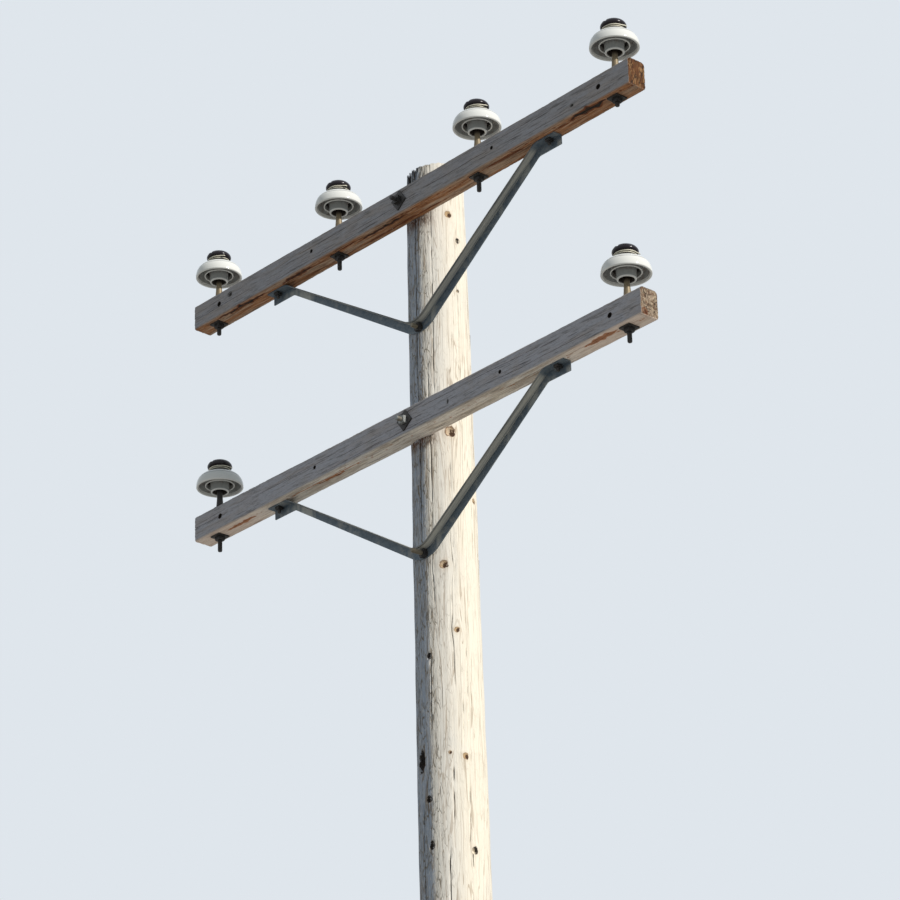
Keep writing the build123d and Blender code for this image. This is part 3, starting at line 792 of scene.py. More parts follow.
def wire_surface(path, radius):
    """A round wire along a path of points: a ring square to the path at each, drawn in at both ends."""
    sides = 8
    ahead = np.gradient(path, axis=0)
    ahead = ahead / np.linalg.norm(ahead, axis=1)[:, None]
    across = np.cross(ahead, (0.05, 0.08, 1.0))
    across = across / np.linalg.norm(across, axis=1)[:, None]
    over = np.cross(across, ahead)
    turn = -np.arange(sides)[:, None] * TURN / sides
    size = np.full((len(path), 1, 1), radius)
    size[[0, -1]] = radius * 0.05
    offset = np.cos(turn) * across[:, None, :] + np.sin(turn) * over[:, None, :]
    points = path[:, None, :] + size * offset
    return points.reshape(-1, 3), tube_faces(len(path), sides)


# Shader building.


class Graph:
    """Adds nodes to one node tree. Each method gives back the output that the next one takes."""

    def __init__(self, tree):
        self.tree = tree

    def feed(self, socket, value):
        """Links an output to a socket, or sets its value."""
        if isinstance(value, bpy.types.NodeSocket):
            self.tree.links.new(value, socket)
            return
        if socket.type == "RGBA" and len(value) == 3:
            value = (*value, 1.0)
        socket.default_value = value

    def fill(self, node, sockets):
        """Feeds a node's inputs, each by its name or number."""
        for key, value in sockets.items():
            self.feed(node.inputs[key], value)
        return node

    def put(self, kind, sockets=None, **values):
        """A new node with its inputs and its own values filled in."""
        node = self.tree.nodes.new(kind)
        for key, value in values.items():
            setattr(node, key, value)
        return self.fill(node, sockets or {})

    def math(self, operation, *values):
        return self.put("ShaderNodeMath", dict(enumerate(values)), operation=operation).outputs[0]

    def plus(self, a, b):
        return self.math("ADD", a, b)

    def minus(self, a, b):
        return self.math("SUBTRACT", a, b)

    def times(self, product, *factors):
        for factor in factors:
            product = self.math("MULTIPLY", product, factor)
        return product

    def over(self, a, b):
        return self.math("DIVIDE", a, b)

    def most(self, a, b):
        return self.math("MAXIMUM", a, b)

    def hypotenuse(self, a, b):
        return self.math("SQRT", self.plus(self.times(a, a), self.times(b, b)))

    def inverse(self, mask):
        """One less the mask."""
        return self.minus(1.0, mask)

    def step(self, value, low, high):
        """0 at low, 1 at high."""
        sockets = dict(enumerate((value, low, high, 0.0, 1.0)))
        return self.put("ShaderNodeMapRange", sockets, interpolation_type="SMOOTHSTEP").outputs[0]

    def fall(self, value, low, high):
        """1 at low, 0 at high."""
        return self.inverse(self.step(value, low, high))

    def vector(self, operation, *values):
        node = self.put("ShaderNodeVectorMath", dict(enumerate(values)), operation=operation)
        return node.outputs["Value" if operation in ("LENGTH", "DISTANCE") else "Vector"]

    def scaled(self, vector, factor):
        return self.put("ShaderNodeVectorMath", {0: vector, "Scale": factor}, operation="SCALE").outputs[0]

    def combine(self, x=0.0, y=0.0, z=0.0):
        return self.put("ShaderNodeCombineXYZ", {0: x, 1: y, 2: z}).outputs[0]

    def split(self, vector):
        return self.put("ShaderNodeSeparateXYZ", {0: vector}).outputs[:]

    def noise(self, vector, scale=1.0, detail=3.0, roughness=0.55, distortion=0.0):
        sockets = dict(Vector=vector, Scale=scale, Detail=detail, Roughness=roughness, Distortion=distortion)
        return self.put("ShaderNodeTexNoise", sockets).outputs[0]

    def cells(self, vector, scale, feature, output):
        node = self.put("ShaderNodeTexVoronoi", {"Vector": vector, "Scale": scale}, feature=feature)
        return node.outputs[output]

    def mix(self, factor, a, b):
        sockets = {0: factor, 6: a, 7: b}
        return self.put("ShaderNodeMix", sockets, data_type="RGBA", clamp_factor=True).outputs[2]

    def lay(self, base, colour, *masks):
        """The base with a colour laid on it as strongly as the product of the masks says."""
        return self.mix(self.times(*masks), base, colour)

    def attribute(self, name, output="Fac"):
        return self.put("ShaderNodeAttribute", attribute_name=name, attribute_type="GEOMETRY").outputs[output]

    def place(self):
        return self.put("ShaderNodeTexCoord").outputs["Object"]

    def bump(self, height, strength, distance):
        sockets = {"Strength": strength, "Distance": distance, "Height": height}
        return self.put("ShaderNodeBump", sockets).outputs[0]

    def effect(self, name, **values):
        """Outputs of a shared effect, whose inputs are given by name in small letters."""
        sockets = {label.capitalize(): value for label, value in values.items()}
        return self.put("ShaderNodeGroup", sockets, node_tree=effect_group(name)).outputs


def fibre_masks(g, grain, width, stretch):
    """Wood fibre: fine streaks, broad bands and thin splits along the third axis of the grain vector."""
    x, y, z = g.split(grain)
    run = g.over(z, stretch)

    def stretched(factor, along):
        """The grain vector counted in fibre widths, drawn out along the grain."""
        size = g.times(width, factor)
        return g.combine(g.over(x, size), g.over(y, size), g.over(g.times(run, along), size))

    streak = g.noise(stretched(1.0, 1.0), 1.0, 4.0, 0.62, 0.15)
    band = g.noise(stretched(7.0, 1.6), 1.0, 3.0, 0.55, 0.3)
    split = g.step(g.noise(stretched(1.9, 0.75), 1.0, 2.0, 0.5, 0.1), 0.665, 0.74)
    fine = g.noise(stretched(0.45, 0.8), 1.0, 2.0, 0.5, 0.0)
    return streak, band, split, g.minus(g.plus(streak, g.times(fine, 0.5)), g.times(split, 1.3))


def wrinkle_masks(g, grain, width, stretch):
    """Wrinkles along the third axis of the grain vector: a net of wandering lines and nested wavy ones."""
    x, y, z = g.split(grain)
    place = g.combine(g.over(x, width), g.over(y, width), g.over(g.over(z, stretch), width))
    bend = g.put("ShaderNodeTexNoise", {"Vector": place, "Scale": 0.9}).outputs["Color"]
    net = g.cells(g.vector("ADD", place, bend), 1.0, "DISTANCE_TO_EDGE", "Distance")
    broken = g.step(g.noise(place, 0.55, 2.0), 0.40, 0.58)
    nested = g.math("SINE", g.times(g.noise(place, 0.45, 2.0, 0.5, 0.6), 26.0))
    contour = g.times(g.step(nested, 0.78, 0.97), g.plus(0.45, g.times(broken, 0.55)))
    return g.times(g.fall(net, 0.015, 0.10), broken), contour


def knot_masks(g, place, centre, radius, tall, hollow):
    """A knot by distance from its centre: heart, ring of bark, stain round it, dark core and hollow."""
    x, y, z = g.split(g.vector("SUBTRACT", place, centre))
    away = g.combine(x, y, g.over(z, tall))
    broad = g.times(g.minus(g.noise(place, 55.0, 1.0), 0.5), 0.8)
    rough = g.times(g.minus(g.noise(place, 240.0, 2.0), 0.5), 0.6)
    uneven = g.plus(broad, rough)
    gap = g.plus(g.over(g.vector("LENGTH", away), radius), uneven)
    off_centre = g.scaled((0.30, 0.30, -0.22), radius)
    shifted = g.plus(g.over(g.vector("DISTANCE", away, off_centre), radius), g.times(uneven, 1.2))
    heart = g.fall(gap, 0.85, 1.1)
    rim = g.fall(g.math("ABSOLUTE", g.minus(gap, 0.92)), 0.05, 0.22)
    hole = g.times(g.fall(gap, 0.62, 0.92), hollow)
    return heart, rim, g.fall(gap, 0.9, 2.3), g.fall(shifted, 0.56, 0.80), hole


def blotch_masks(g, place, size, cover):
    """Blotches of rust, dirt or wear: a soft mask that covers a share of the surface, and a finer speckle."""
    spread = g.scaled(place, g.over(1.0, size))
    edge = g.minus(0.85, g.times(cover, 0.7))
    mask = g.step(g.noise(spread, 1.0, 5.0, 0.62, 0.3), edge, g.plus(edge, 0.16))
    return mask, g.noise(spread, 9.0, 2.0, 0.6)


# Effects that materials share: function, how many of the inputs are vectors, the inputs and the masks.
EFFECTS = {
    "Wood fibre": (fibre_masks, 1, ("Grain", "Width", "Stretch"), ("Streak", "Band", "Split", "Height")),
    "Wrinkles": (wrinkle_masks, 1, ("Grain", "Width", "Stretch"), ("Line", "Contour")),
    "Knot": (
        knot_masks,
        2,
        ("Place", "Centre", "Radius", "Tall", "Hollow"),
        ("Heart", "Rim", "Stain", "Core", "Hole"),
    ),
    "Blotches": (blotch_masks, 1, ("Place", "Size", "Cover"), ("Mask", "Speckle")),
}


def effect_group(name):
    """An effect's shader node group, built the first time that it is asked for."""
    tree = bpy.data.node_groups.get(name)
    if tree:
        return tree
    build, vectors, inputs, masks = EFFECTS[name]
    tree = bpy.data.node_groups.new(name, "ShaderNodeTree")
    for number, label in enumerate(inputs):
        kind = "NodeSocketVector" if number < vectors else "NodeSocketFloat"
        tree.interface.new_socket(name=label, in_out="INPUT", socket_type=kind)
    for label in masks:
        tree.interface.new_socket(name=label, in_out="OUTPUT", socket_type="NodeSocketFloat")
    source = tree.nodes.new("NodeGroupInput")
    sink = tree.nodes.new("NodeGroupOutput")
    g = Graph(tree)
    g.fill(sink, dict(zip(masks, build(g, *(source.outputs[label] for label in inputs)))))
    return tree


def new_material(name, roughness, metallic, specular):
    """A material with its graph and its Principled shader."""
    material = bpy.data.materials.new(name)
    material.use_nodes = True
    shader = material.node_tree.nodes["Principled BSDF"]
    shader.inputs["Roughness"].default_value = roughness
    shader.inputs["Metallic"].default_value = metallic
    shader.inputs["Specular IOR Level"].default_value = specular
    return material, Graph(material.node_tree), shader


def paint_knots(g, base, place, knots, heart, bark, crack):
    """Lays knots on a wood colour. Each knot is its centre, radius, height over width and hollowness."""
    hole = 0.0
    for centre, r, tall, hollow in knots:
        gone = hollow > 0.5
        knot = g.effect("Knot", place=place, centre=centre, radius=r, tall=tall, hollow=float(gone))
        base = g.lay(base, heart, knot["Stain"], 0.10 if gone else 0.18)
        base = g.lay(base, crack if gone else heart, knot["Heart"], 0.90 if gone else 0.75 - 1.2 * hollow)
        base = g.lay(base, crack if gone else bark, knot["Rim"], 0.90 if gone else 0.35 + 2.0 * hollow)
        base = g.lay(base, bark, knot["Core"], 0.92)
        base = g.lay(base, crack, knot["Core"], 0.55)
        hole = g.most(hole, knot["Hole"])
    return g.mix(hole, base, crack), hole


def pole_stains_and_shade(g, base, z, toward_sun, streak, colours):
    """Dark runs under each crossarm on the pole's side away from the lamp: partly stain, partly painted shade
    under the arm.
    """
    runs = g.times(g.fall(toward_sun, 0.20, 0.60), g.step(streak, 0.40, 0.54))
    for tier in TIERS:
        foot = ARM[tier][0][2]
        under_arm_band = g.times(g.step(z, foot - 0.060, foot - 0.015), g.step(z, foot + 0.09, foot + 0.05))
        base = g.lay(base, colours.knot, under_arm_band, runs, 0.90)
    return base


def pole_knots():
    """Centre on the pole's surface, radius, height over width and hollowness of each of its knots."""
    top_r = pole_top_r()
    for degrees, level, r, tall, hollow in KNOTS:
        reach = POLE_FOOT_R + (top_r - POLE_FOOT_R) * level / POLE_TOP
        turn = math.radians(degrees)
        yield (reach * math.cos(turn), reach * math.sin(turn), level), r, tall, hollow


def bleached_pole_wood(colours):
    """The pole: bleached cream wood towards the lamp and grey away from it, the grey partly weathering and
    partly painted shade, with painted light and shade near the terminator, wrinkles, checks and knots.
    """
    material, g, shader = new_material("Bleached pole wood", 0.86, 0.0, 0.15)
    place = g.place()
    grain = g.attribute("grain", "Vector")
    fibre = g.effect("Wood fibre", grain=grain, width=0.0046, stretch=11.0)
    fine = g.effect("Wood fibre", grain=grain, width=0.0032, stretch=5.0)
    line = g.effect("Wood fibre", grain=grain, width=0.0026, stretch=70.0)
    wrinkle = g.effect("Wrinkles", grain=grain, width=0.012, stretch=4.5)["Line"]
    contour = g.effect("Wrinkles", grain=grain, width=0.011, stretch=16.0)["Contour"]
    weather = g.effect("Blotches", place=place, size=0.30, cover=0.45)

    x, y, z = g.split(place)
    toward_sun = g.plus(g.times(x, 7.6), g.times(y, 1.1))
    ragged = g.times(g.minus(fine["Streak"], 0.5), 0.55)
    # Painted shade: the side away from the lamp takes the grey colour, with its edge held at the lamp's
    # terminator; the grey is partly real weathering.
    sunny = g.step(g.plus(toward_sun, ragged), 0.00, 0.15)
    # Painted shade: near_terminator and shade lay the fibre, split and wrinkle lines darker towards the
    # lamp's terminator and on the shaded side, as grazing light shows relief.
    near_terminator = g.fall(toward_sun, 0.10, 0.72)
    shade = g.plus(0.14, g.times(near_terminator, 0.86))
    # Painted light: paler cream from the terminator to the middle of the lit side, bleached cream where the
    # wood faces the lamp.
    base = g.mix(g.step(toward_sun, 0.45, 0.95), colours.painted_light_cream, colours.bleached)
    base = g.mix(sunny, colours.silvered_and_shade, base)
    base = g.lay(base, colours.fibre_pale, g.step(line["Band"], 0.46, 0.66), 0.10)
    base = g.lay(base, colours.silvered_and_shade, weather["Mask"], 0.08)
    base = g.lay(base, colours.fibre_pale, g.step(fibre["Streak"], 0.46, 0.62), 0.10)
    base = g.lay(base, colours.fibre, g.step(fibre["Streak"], 0.56, 0.66), shade, 0.24)
    base = g.lay(base, colours.fibre, g.step(fine["Streak"], 0.58, 0.68), shade, 0.20)
    base = g.lay(base, colours.grain_line, contour, g.plus(0.50, g.times(near_terminator, 0.20)))
    base = g.lay(base, colours.crack, fibre["Split"], shade, 0.95)
    base = g.lay(base, colours.fibre, line["Split"], 0.65)
    base = g.lay(base, colours.fibre, wrinkle, shade, 0.90)
    # Painted shade: the lines are laid darker still on the side away from the lamp.
    base = g.lay(base, colours.crack, g.most(wrinkle, contour), g.inverse(sunny), 0.28)
    # Painted highlight: pale fibre ridges near the terminator and on the shaded side, as grazing light
    # catches them.
    base = g.lay(base, colours.bleached, g.fall(fine["Streak"], 0.32, 0.46), near_terminator, 0.55)
    # Painted shade: dark stripes in the split top rim on the side away from the lamp.
    shaded_top_splits = g.times(g.step(z, POLE_TOP - 0.10, POLE_TOP - 0.05), g.fall(toward_sun, 0.0, 0.55))
    base = g.lay(base, colours.crack, g.step(fibre["Streak"], 0.47, 0.53), shaded_top_splits)
    # Partly stain, partly painted shade under the crossarms.
    base = pole_stains_and_shade(g, base, z, toward_sun, fine["Streak"], colours)
    base, hole = paint_knots(g, base, place, pole_knots(), colours.amber, colours.knot, colours.crack)
    base = g.mix(g.step(g.attribute("check"), 0.20, 0.60), base, colours.crack)
    base = g.lay(base, colours.silvered_and_shade, g.attribute("cut_end"), 0.35)

    relief = g.plus(fibre["Height"], g.times(fine["Height"], 0.8))
    relief = g.minus(relief, g.plus(g.times(hole, 2.0), g.times(wrinkle, 0.8)))
    strength = g.plus(0.12, g.times(g.fall(toward_sun, 0.15, 0.45), 0.55))
    g.fill(shader, {"Base Color": base, "Normal": g.bump(relief, strength, 0.0030)})
    return material


def arm_belly(g, place, fibre, fine, broad, upper, colours):
    """Colour under a crossarm: rusty brown under the upper one, pale tan with pinker ends under the lower."""
    dark, pale = (colours.knot, colours.belly_pale) if upper else (colours.arm_tan, colours.bleached)
    belly = colours.arm_rust if upper else colours.belly_tan
    belly = g.lay(belly, colours.arm_tan, g.step(fibre["Band"], 0.44, 0.58), 0.6)
    belly = g.lay(belly, pale, g.fall(fibre["Streak"], 0.36, 0.48), 0.55)
    belly = g.lay(belly, dark, g.step(fibre["Streak"], 0.52, 0.62), 0.60)
    belly = g.lay(belly, colours.arm_dark, g.step(fine["Streak"], 0.52, 0.66), 0.45 if upper else 0.30)
    belly = g.lay(belly, dark, g.step(broad["Streak"], 0.53, 0.62), 0.50)
    belly = g.lay(belly, pale, g.fall(broad["Streak"], 0.36, 0.46), 0.30 if upper else 0.50)
    if not upper:
        ends = g.step(g.math("ABSOLUTE", g.split(place)[0]), 0.70, 1.00)
        belly = g.lay(belly, colours.belly_pink, ends, 0.45)
    return belly


def arm_end(g, grain, upper, colours):
    """Colour and relief of a crossarm's cut ends: pale upright streaks, dirt and dark scratches."""
    across, rise, _ = g.split(grain)
    face = g.combine(g.plus(across, g.times(rise, -0.12 if upper else 0.25)), 0.0, rise)
    stripe = g.vector("MULTIPLY", face, (90.0, 0.0, 17.0) if upper else (120.0, 0.0, 50.0))
    streaks = g.noise(stripe, 1.0, 2.0, 0.5, 0.5 if upper else 1.0)
    dirt = g.noise(face, 70.0, 3.0, 0.6, 0.8)
    scratch = g.effect("Wrinkles", grain=face, width=0.011, stretch=3.5 if upper else 1.7)["Line"]
    dark, light = (colours.knot, colours.end_orange) if upper else (colours.arm_tan, colours.arm_end)
    end = g.mix(g.step(streaks, 0.38, 0.50), dark, light)
    pale = colours.end_pale if upper else colours.fibre_pale
    end = g.lay(end, pale, g.step(streaks, 0.53, 0.60), 0.90 if upper else 0.45)
    end = g.lay(end, colours.knot, g.step(dirt, 0.48, 0.57), 0.85 if upper else 0.60)
    end = g.lay(end, colours.crack, scratch, 0.90)
    return end, g.minus(g.plus(streaks, dirt), scratch)


def arm_knots(g, base, place, tier, colours):
    """Knots of a crossarm's front face, and the red one under the middle of the lower arm."""
    front, foot = ARM[tier][0][1], ARM[tier][0][2]
    if tier == "upper":
        knots = [
            ((-1.00, front, foot + 0.070), 0.013, 0.8, 0.1),
            ((0.93, front, foot + 0.040), 0.009, 0.7, 0.0),
        ]
        return paint_knots(g, base, place, knots, colours.arm_dark, colours.crack, colours.crack)[0]
    red = [((ARM[tier][1][0], front + 0.020, foot + 0.016), 0.013, 0.9, 0.2)]
    base = paint_knots(g, base, place, red, colours.rust, colours.pocket, colours.crack)[0]
    grey = [((0.23, front, foot + 0.045), 0.006, 2.2, 0.0)]
    return paint_knots(g, base, place, grey, colours.arm_grey, colours.arm_dark, colours.crack)[0]


def arm_bore_shade(g, base, place, tier, colours):
    """Paints shade into a crossarm's open bolt holes: their insides and rims are painted near-black."""
    x, _, z = g.split(place)
    rise = g.minus(z, centre_of(f"crossarm_{tier}")[2])
    for mount in arm_holes(tier):
        run = g.minus(g.math("ABSOLUTE", x), mount["dims"]["spacing_x_mm"] / 2000.0)
        reach = mount["dims"]["hole_r_mm"] / 1000.0 + 0.0012
        base = g.mix(g.step(g.hypotenuse(run, rise), reach, reach + 0.0015), colours.crack, base)
    return base


def grey_arm_wood(tier, colours):
    """A crossarm: grey sawn wood with dark fibres, a brown or tan underside and streaked ends."""
    material, g, shader = new_material(f"Grey crossarm wood, {tier}", 0.85, 0.0, 0.15)
    upper = tier == "upper"
    place = g.place()
    grain = g.attribute("grain", "Vector")
    check, cut_end, under, edge, pocket = map(g.attribute, ("check", "cut_end", "under", "edge", "pocket"))
    side = g.inverse(cut_end)
    fibre = g.effect("Wood fibre", grain=grain, width=0.0050, stretch=15.0)
    fine = g.effect("Wood fibre", grain=grain, width=0.0026, stretch=7.0)
    broad = g.effect("Wood fibre", grain=grain, width=0.0130, stretch=13.0)
    blotch = g.effect("Blotches", place=place, size=0.16, cover=0.5)
    base = colours.arm_grey if upper else colours.arm_pale
    base = g.lay(base, colours.arm_tan, g.step(fibre["Band"], 0.44, 0.70), 0.30)
    base = g.lay(base, colours.arm_dark, g.step(fibre["Streak"], 0.50, 0.68), 0.62)
    base = g.lay(base, colours.arm_dark, g.step(fine["Streak"], 0.50, 0.70), 0.50)
    base = g.lay(base, colours.silvered_and_shade, g.fall(fibre["Streak"], 0.33, 0.47), 0.35)
    base = g.lay(base, colours.arm_tan, blotch["Mask"], 0.16)
    base = g.lay(base, colours.arm_tan, edge, 0.35)
    base = g.mix(under, base, arm_belly(g, place, fibre, fine, broad, upper, colours))
    base = g.lay(base, colours.pocket if upper else colours.pocket_pale, g.step(pocket, 0.05, 0.40), 0.85)
    core = g.plus(pocket, g.times(g.minus(fibre["Streak"], 0.5), 0.8))
    base = g.mix(g.step(core, 0.72, 0.98), base, colours.crack)
    base = g.lay(base, colours.crack, fibre["Split"], side, 0.5)
    end, end_relief = arm_end(g, grain, upper, colours)
    base = g.mix(cut_end, base, end)
    base = arm_knots(g, base, place, tier, colours)
    base = g.lay(base, colours.crack, g.step(check, 0.12, 0.80), 0.85)
    # Painted shade in the open bolt holes.
    base = arm_bore_shade(g, base, place, tier, colours)

    relief = g.plus(fibre["Height"], g.times(fine["Height"], 0.7))
    relief = g.minus(g.times(relief, side), g.times(pocket, 0.8))
    relief = g.plus(relief, g.times(end_relief, cut_end))
    g.fill(shader, {"Base Color": base, "Normal": g.bump(relief, 0.8, 0.0016)})
    return material


def dull_zinc(tier, colours):
    """A brace: galvanised steel with faint crystals, pale runs and some rust; its flange is painted paler,
    with a paler band and a darker outer part: painted light and shade.
    """
    material, g, shader = new_material(f"Dull galvanised angle, {tier}", 0.6, 0.25, 0.4)
    lower = tier == "lower"
    place = g.place()
    blotch = g.effect("Blotches", place=place, size=0.06, cover=0.5)
    rusty = g.effect("Blotches", place=place, size=0.035, cover=0.12)
    crystal = g.split(g.cells(place, 110.0, "F1", "Color"))[0]
    _, back, top = corners(f"brace_{tier}")[1]
    x, y, z = g.split(place)
    out = g.minus(back, y)
    leg = g.step(g.minus(top, z), 0.010, 0.030)
    flange = g.times(g.step(out, 0.006, 0.009), leg)
    runs = g.noise(g.combine(g.times(out, 190.0), g.times(x, 7.0)), 1.0, 3.0, 0.6, 0.4)
    ridge = g.minus(g.step(out, 0.011, 0.018), g.step(out, 0.025, 0.034))
    base = g.lay(colours.zinc, colours.zinc_pale, blotch["Mask"], 0.80 if lower else 0.50)
    base = g.lay(base, colours.zinc_pale, crystal, 0.30)
    base = g.lay(base, colours.steel_dark, g.step(blotch["Speckle"], 0.55, 0.75), 0.25)
    # Painted light: the flange is laid paler than the wall.
    base = g.lay(base, colours.zinc_pale, flange, 0.80)
    base = g.lay(base, colours.zinc_light_and_runs, flange, 0.80 if lower else 0.40)
    base = g.lay(base, colours.zinc_light_and_runs, g.step(runs, 0.50, 0.62), leg, 0.60)
    base = g.lay(base, colours.zinc, g.fall(runs, 0.40, 0.50), flange, 0.55)
    # Painted light: a paler band along the flange.
    base = g.lay(base, colours.zinc_light_and_runs, ridge, leg, 0.50)
    # Painted shade: a darker band along the flange's outer part.
    base = g.lay(base, colours.steel_dark, g.step(out, 0.030, 0.036), leg, 0.60)
    base = g.lay(base, colours.rust, rusty["Mask"], 0.55)
    roughness = g.plus(0.48, g.times(blotch["Speckle"], 0.25))
    normal = g.bump(g.plus(blotch["Speckle"], g.times(crystal, 0.3)), 0.25, 0.0006)
    g.fill(shader, {"Base Color": base, "Roughness": roughness, "Normal": normal})
    return material


def dark_steel(name, body, bright, colours, rust_cover, own_colour_span=None):
    """Bolts, washers, nuts and pins: rusty, worn steel, dark below a span of heights and painted near-black
    above it, where a pin is up inside its insulator: painted shade.
    """
    material, g, shader = new_material(name, 0.62, 0.35, 0.4)
    place = g.place()
    rusty = g.effect("Blotches", place=place, size=0.012, cover=rust_cover)
    worn = g.effect("Blotches", place=place, size=0.008, cover=0.35)
    base = g.lay(body, bright, worn["Mask"], 0.55)
    base = g.lay(base, colours.rust, rusty["Mask"], 0.75)
    base = g.lay(base, colours.steel_dark, g.step(rusty["Speckle"], 0.58, 0.75), 0.4)
    if own_colour_span:
        z = g.split(place)[2]
        base = g.mix(g.step(z, own_colour_span[0] - 0.002, own_colour_span[0]), colours.steel_dark, base)
        # Painted shade: the pin's top inside the insulator is painted near-black.
        base = g.mix(g.step(z, own_colour_span[1] - 0.030, own_colour_span[1]), base, colours.bore)
    roughness = g.plus(0.5, g.times(rusty["Mask"], 0.3))
    normal = g.bump(g.plus(rusty["Speckle"], worn["Mask"]), 0.4, 0.0008)
    g.fill(shader, {"Base Color": base, "Roughness": roughness, "Normal": normal})
    return material


def from_axis(g, place, tier):
    """Distance of a point from the axis of the nearest insulator of a tier."""
    x, y, _ = g.split(place)
    centres = sorted({abs(centre_of(f"insulator_{number}")[0]) for number in of_tier(tier)})
    inner, outer = (g.math("ABSOLUTE", g.minus(g.math("ABSOLUTE", x), c)) for c in (centres[0], centres[-1]))
    return g.hypotenuse(g.math("MINIMUM", inner, outer), g.minus(y, centre_of(f"crossarm_{tier}")[1]))


def two_tone_glaze(tier, colours):
    """The porcelain: glossy white glaze, near-black brown from the shoulder up, with dirt, grey painted shade
    inside the skirt, and a channel and bore painted near-black as shade.

    Its parts are told apart by height over the rim and distance from the insulator's axis.
    """
    material, g, shader = new_material(f"Two-tone glaze, {tier} insulators", 0.12, 0.0, 0.28)
    place = g.place()
    height = g.minus(g.split(place)[2], RIM_Z[tier])
    away = from_axis(g, place, tier)
    ripple = g.times(g.minus(g.noise(place, 60.0, 2.0), 0.5), 0.0016)
    dust = g.effect("Blotches", place=place, size=0.05, cover=0.4)
    inside = g.effect("Blotches", place=place, size=0.022, cover=0.55)

    roof = g.fall(height, *ROOF_EDGE)
    hem = g.times(g.step(away, *HEM_EDGE), g.fall(height, 0.0085, 0.0105))
    vault = g.times(g.step(height, 0.003, 0.009), g.fall(away, *VAULT_EDGE), roof, g.inverse(hem))
    tube = g.times(g.step(height, -0.018, -0.013), g.fall(away, *TUBE_EDGE), roof)
    shaded_channel = g.times(g.step(away, *TUBE_EDGE), g.fall(away, *CHANNEL_EDGE))
    shaded_channel = g.times(shaded_channel, roof, g.step(height, 0.008, 0.018))
    bore = g.fall(g.plus(away, g.times(ripple, 3.0)), *BORE_EDGE)
    crown = g.step(g.plus(height, ripple), *SHOULDER_EDGE)

    white = g.lay(colours.white_glaze, colours.dust, dust["Mask"], 0.20)
    white = g.lay(white, colours.speckle, g.step(dust["Speckle"], 0.62, 0.8), 0.20)
    # Partly dirt, partly painted shade inside the skirt and on the tube.
    white = g.lay(white, colours.grime_and_shade, g.most(vault, tube), 0.66)
    white = g.lay(white, colours.rust, vault, inside["Mask"], 0.35)
    # Painted shade: the deep channel between the tube and the petticoat is painted near-black.
    white = g.lay(white, colours.bore, shaded_channel, 0.88)
    brown = g.lay(colours.brown_glaze, colours.brown_dust, dust["Mask"], 0.25)
    base = g.mix(crown, white, brown)
    # Painted shade: the bore is painted near-black, partly stain.
    base = g.lay(base, colours.bore, bore, g.inverse(crown))
    roughness = g.plus(g.plus(0.07, g.times(dust["Mask"], 0.12)), g.times(crown, 0.13))
    roughness = g.plus(roughness, g.times(g.most(vault, bore), 0.45))
    normal = g.bump(g.noise(place, 45.0, 2.0), 0.12, 0.0008)
    g.fill(shader, {"Base Color": base, "Roughness": roughness, "Normal": normal})
    return material


def dull_wire(colours):
    """Aluminium tie wire, dulled."""
    material, g, shader = new_material("Dull tie wire", 0.5, 0.25, 0.5)
    dirt = g.effect("Blotches", place=g.place(), size=0.01, cover=0.35)
    base = g.lay(colours.wire, colours.wire_dirt, dirt["Mask"], 0.5)
    g.fill(shader, {"Base Color": base, "Normal": g.bump(dirt["Speckle"], 0.2, 0.0004)})
    return material


def plain_floor(colours):
    """A plain pale floor, which gives less light back to the pole than it shows."""
    material, g, shader = new_material("Plain floor", 0.9, 0.0, 0.1)
    seen = g.put("ShaderNodeLightPath").outputs["Is Camera Ray"]
    tone = g.mix(g.noise(g.place(), 0.6, 2.0), colours.floor, tuple(0.97 * c for c in colours.floor))
    g.fill(shader, {"Base Color": g.mix(seen, colours.bounce, tone)})
    return material


def dress(nodes, material):
    """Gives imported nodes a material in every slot."""
    for name in nodes:
        mesh = frame["nodes"][name].data
        if not mesh.materials:
            mesh.materials.append(material)
        for index in range(len(mesh.materials)):
            mesh.materials[index] = material


# Operators, one for each piece or group of like pieces.


class POLE_OT_shaft(bpy.types.Operator):
    """Build the round timber with its knots, checks and split top"""

    bl_idname = "utility_pole.shaft"
    bl_label = "Pole"

    def execute(self, context):
        points, faces, attributes = pole_surface(settings("pole_shape"))
        wood = bleached_pole_wood(settings("pole_colours"))
        piece = make_surface("weathered_pole", points, faces, wood, attributes)
        piece.data.set_sharp_from_angle(angle=math.radians(50))
        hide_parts("pole")
        return {"FINISHED"}


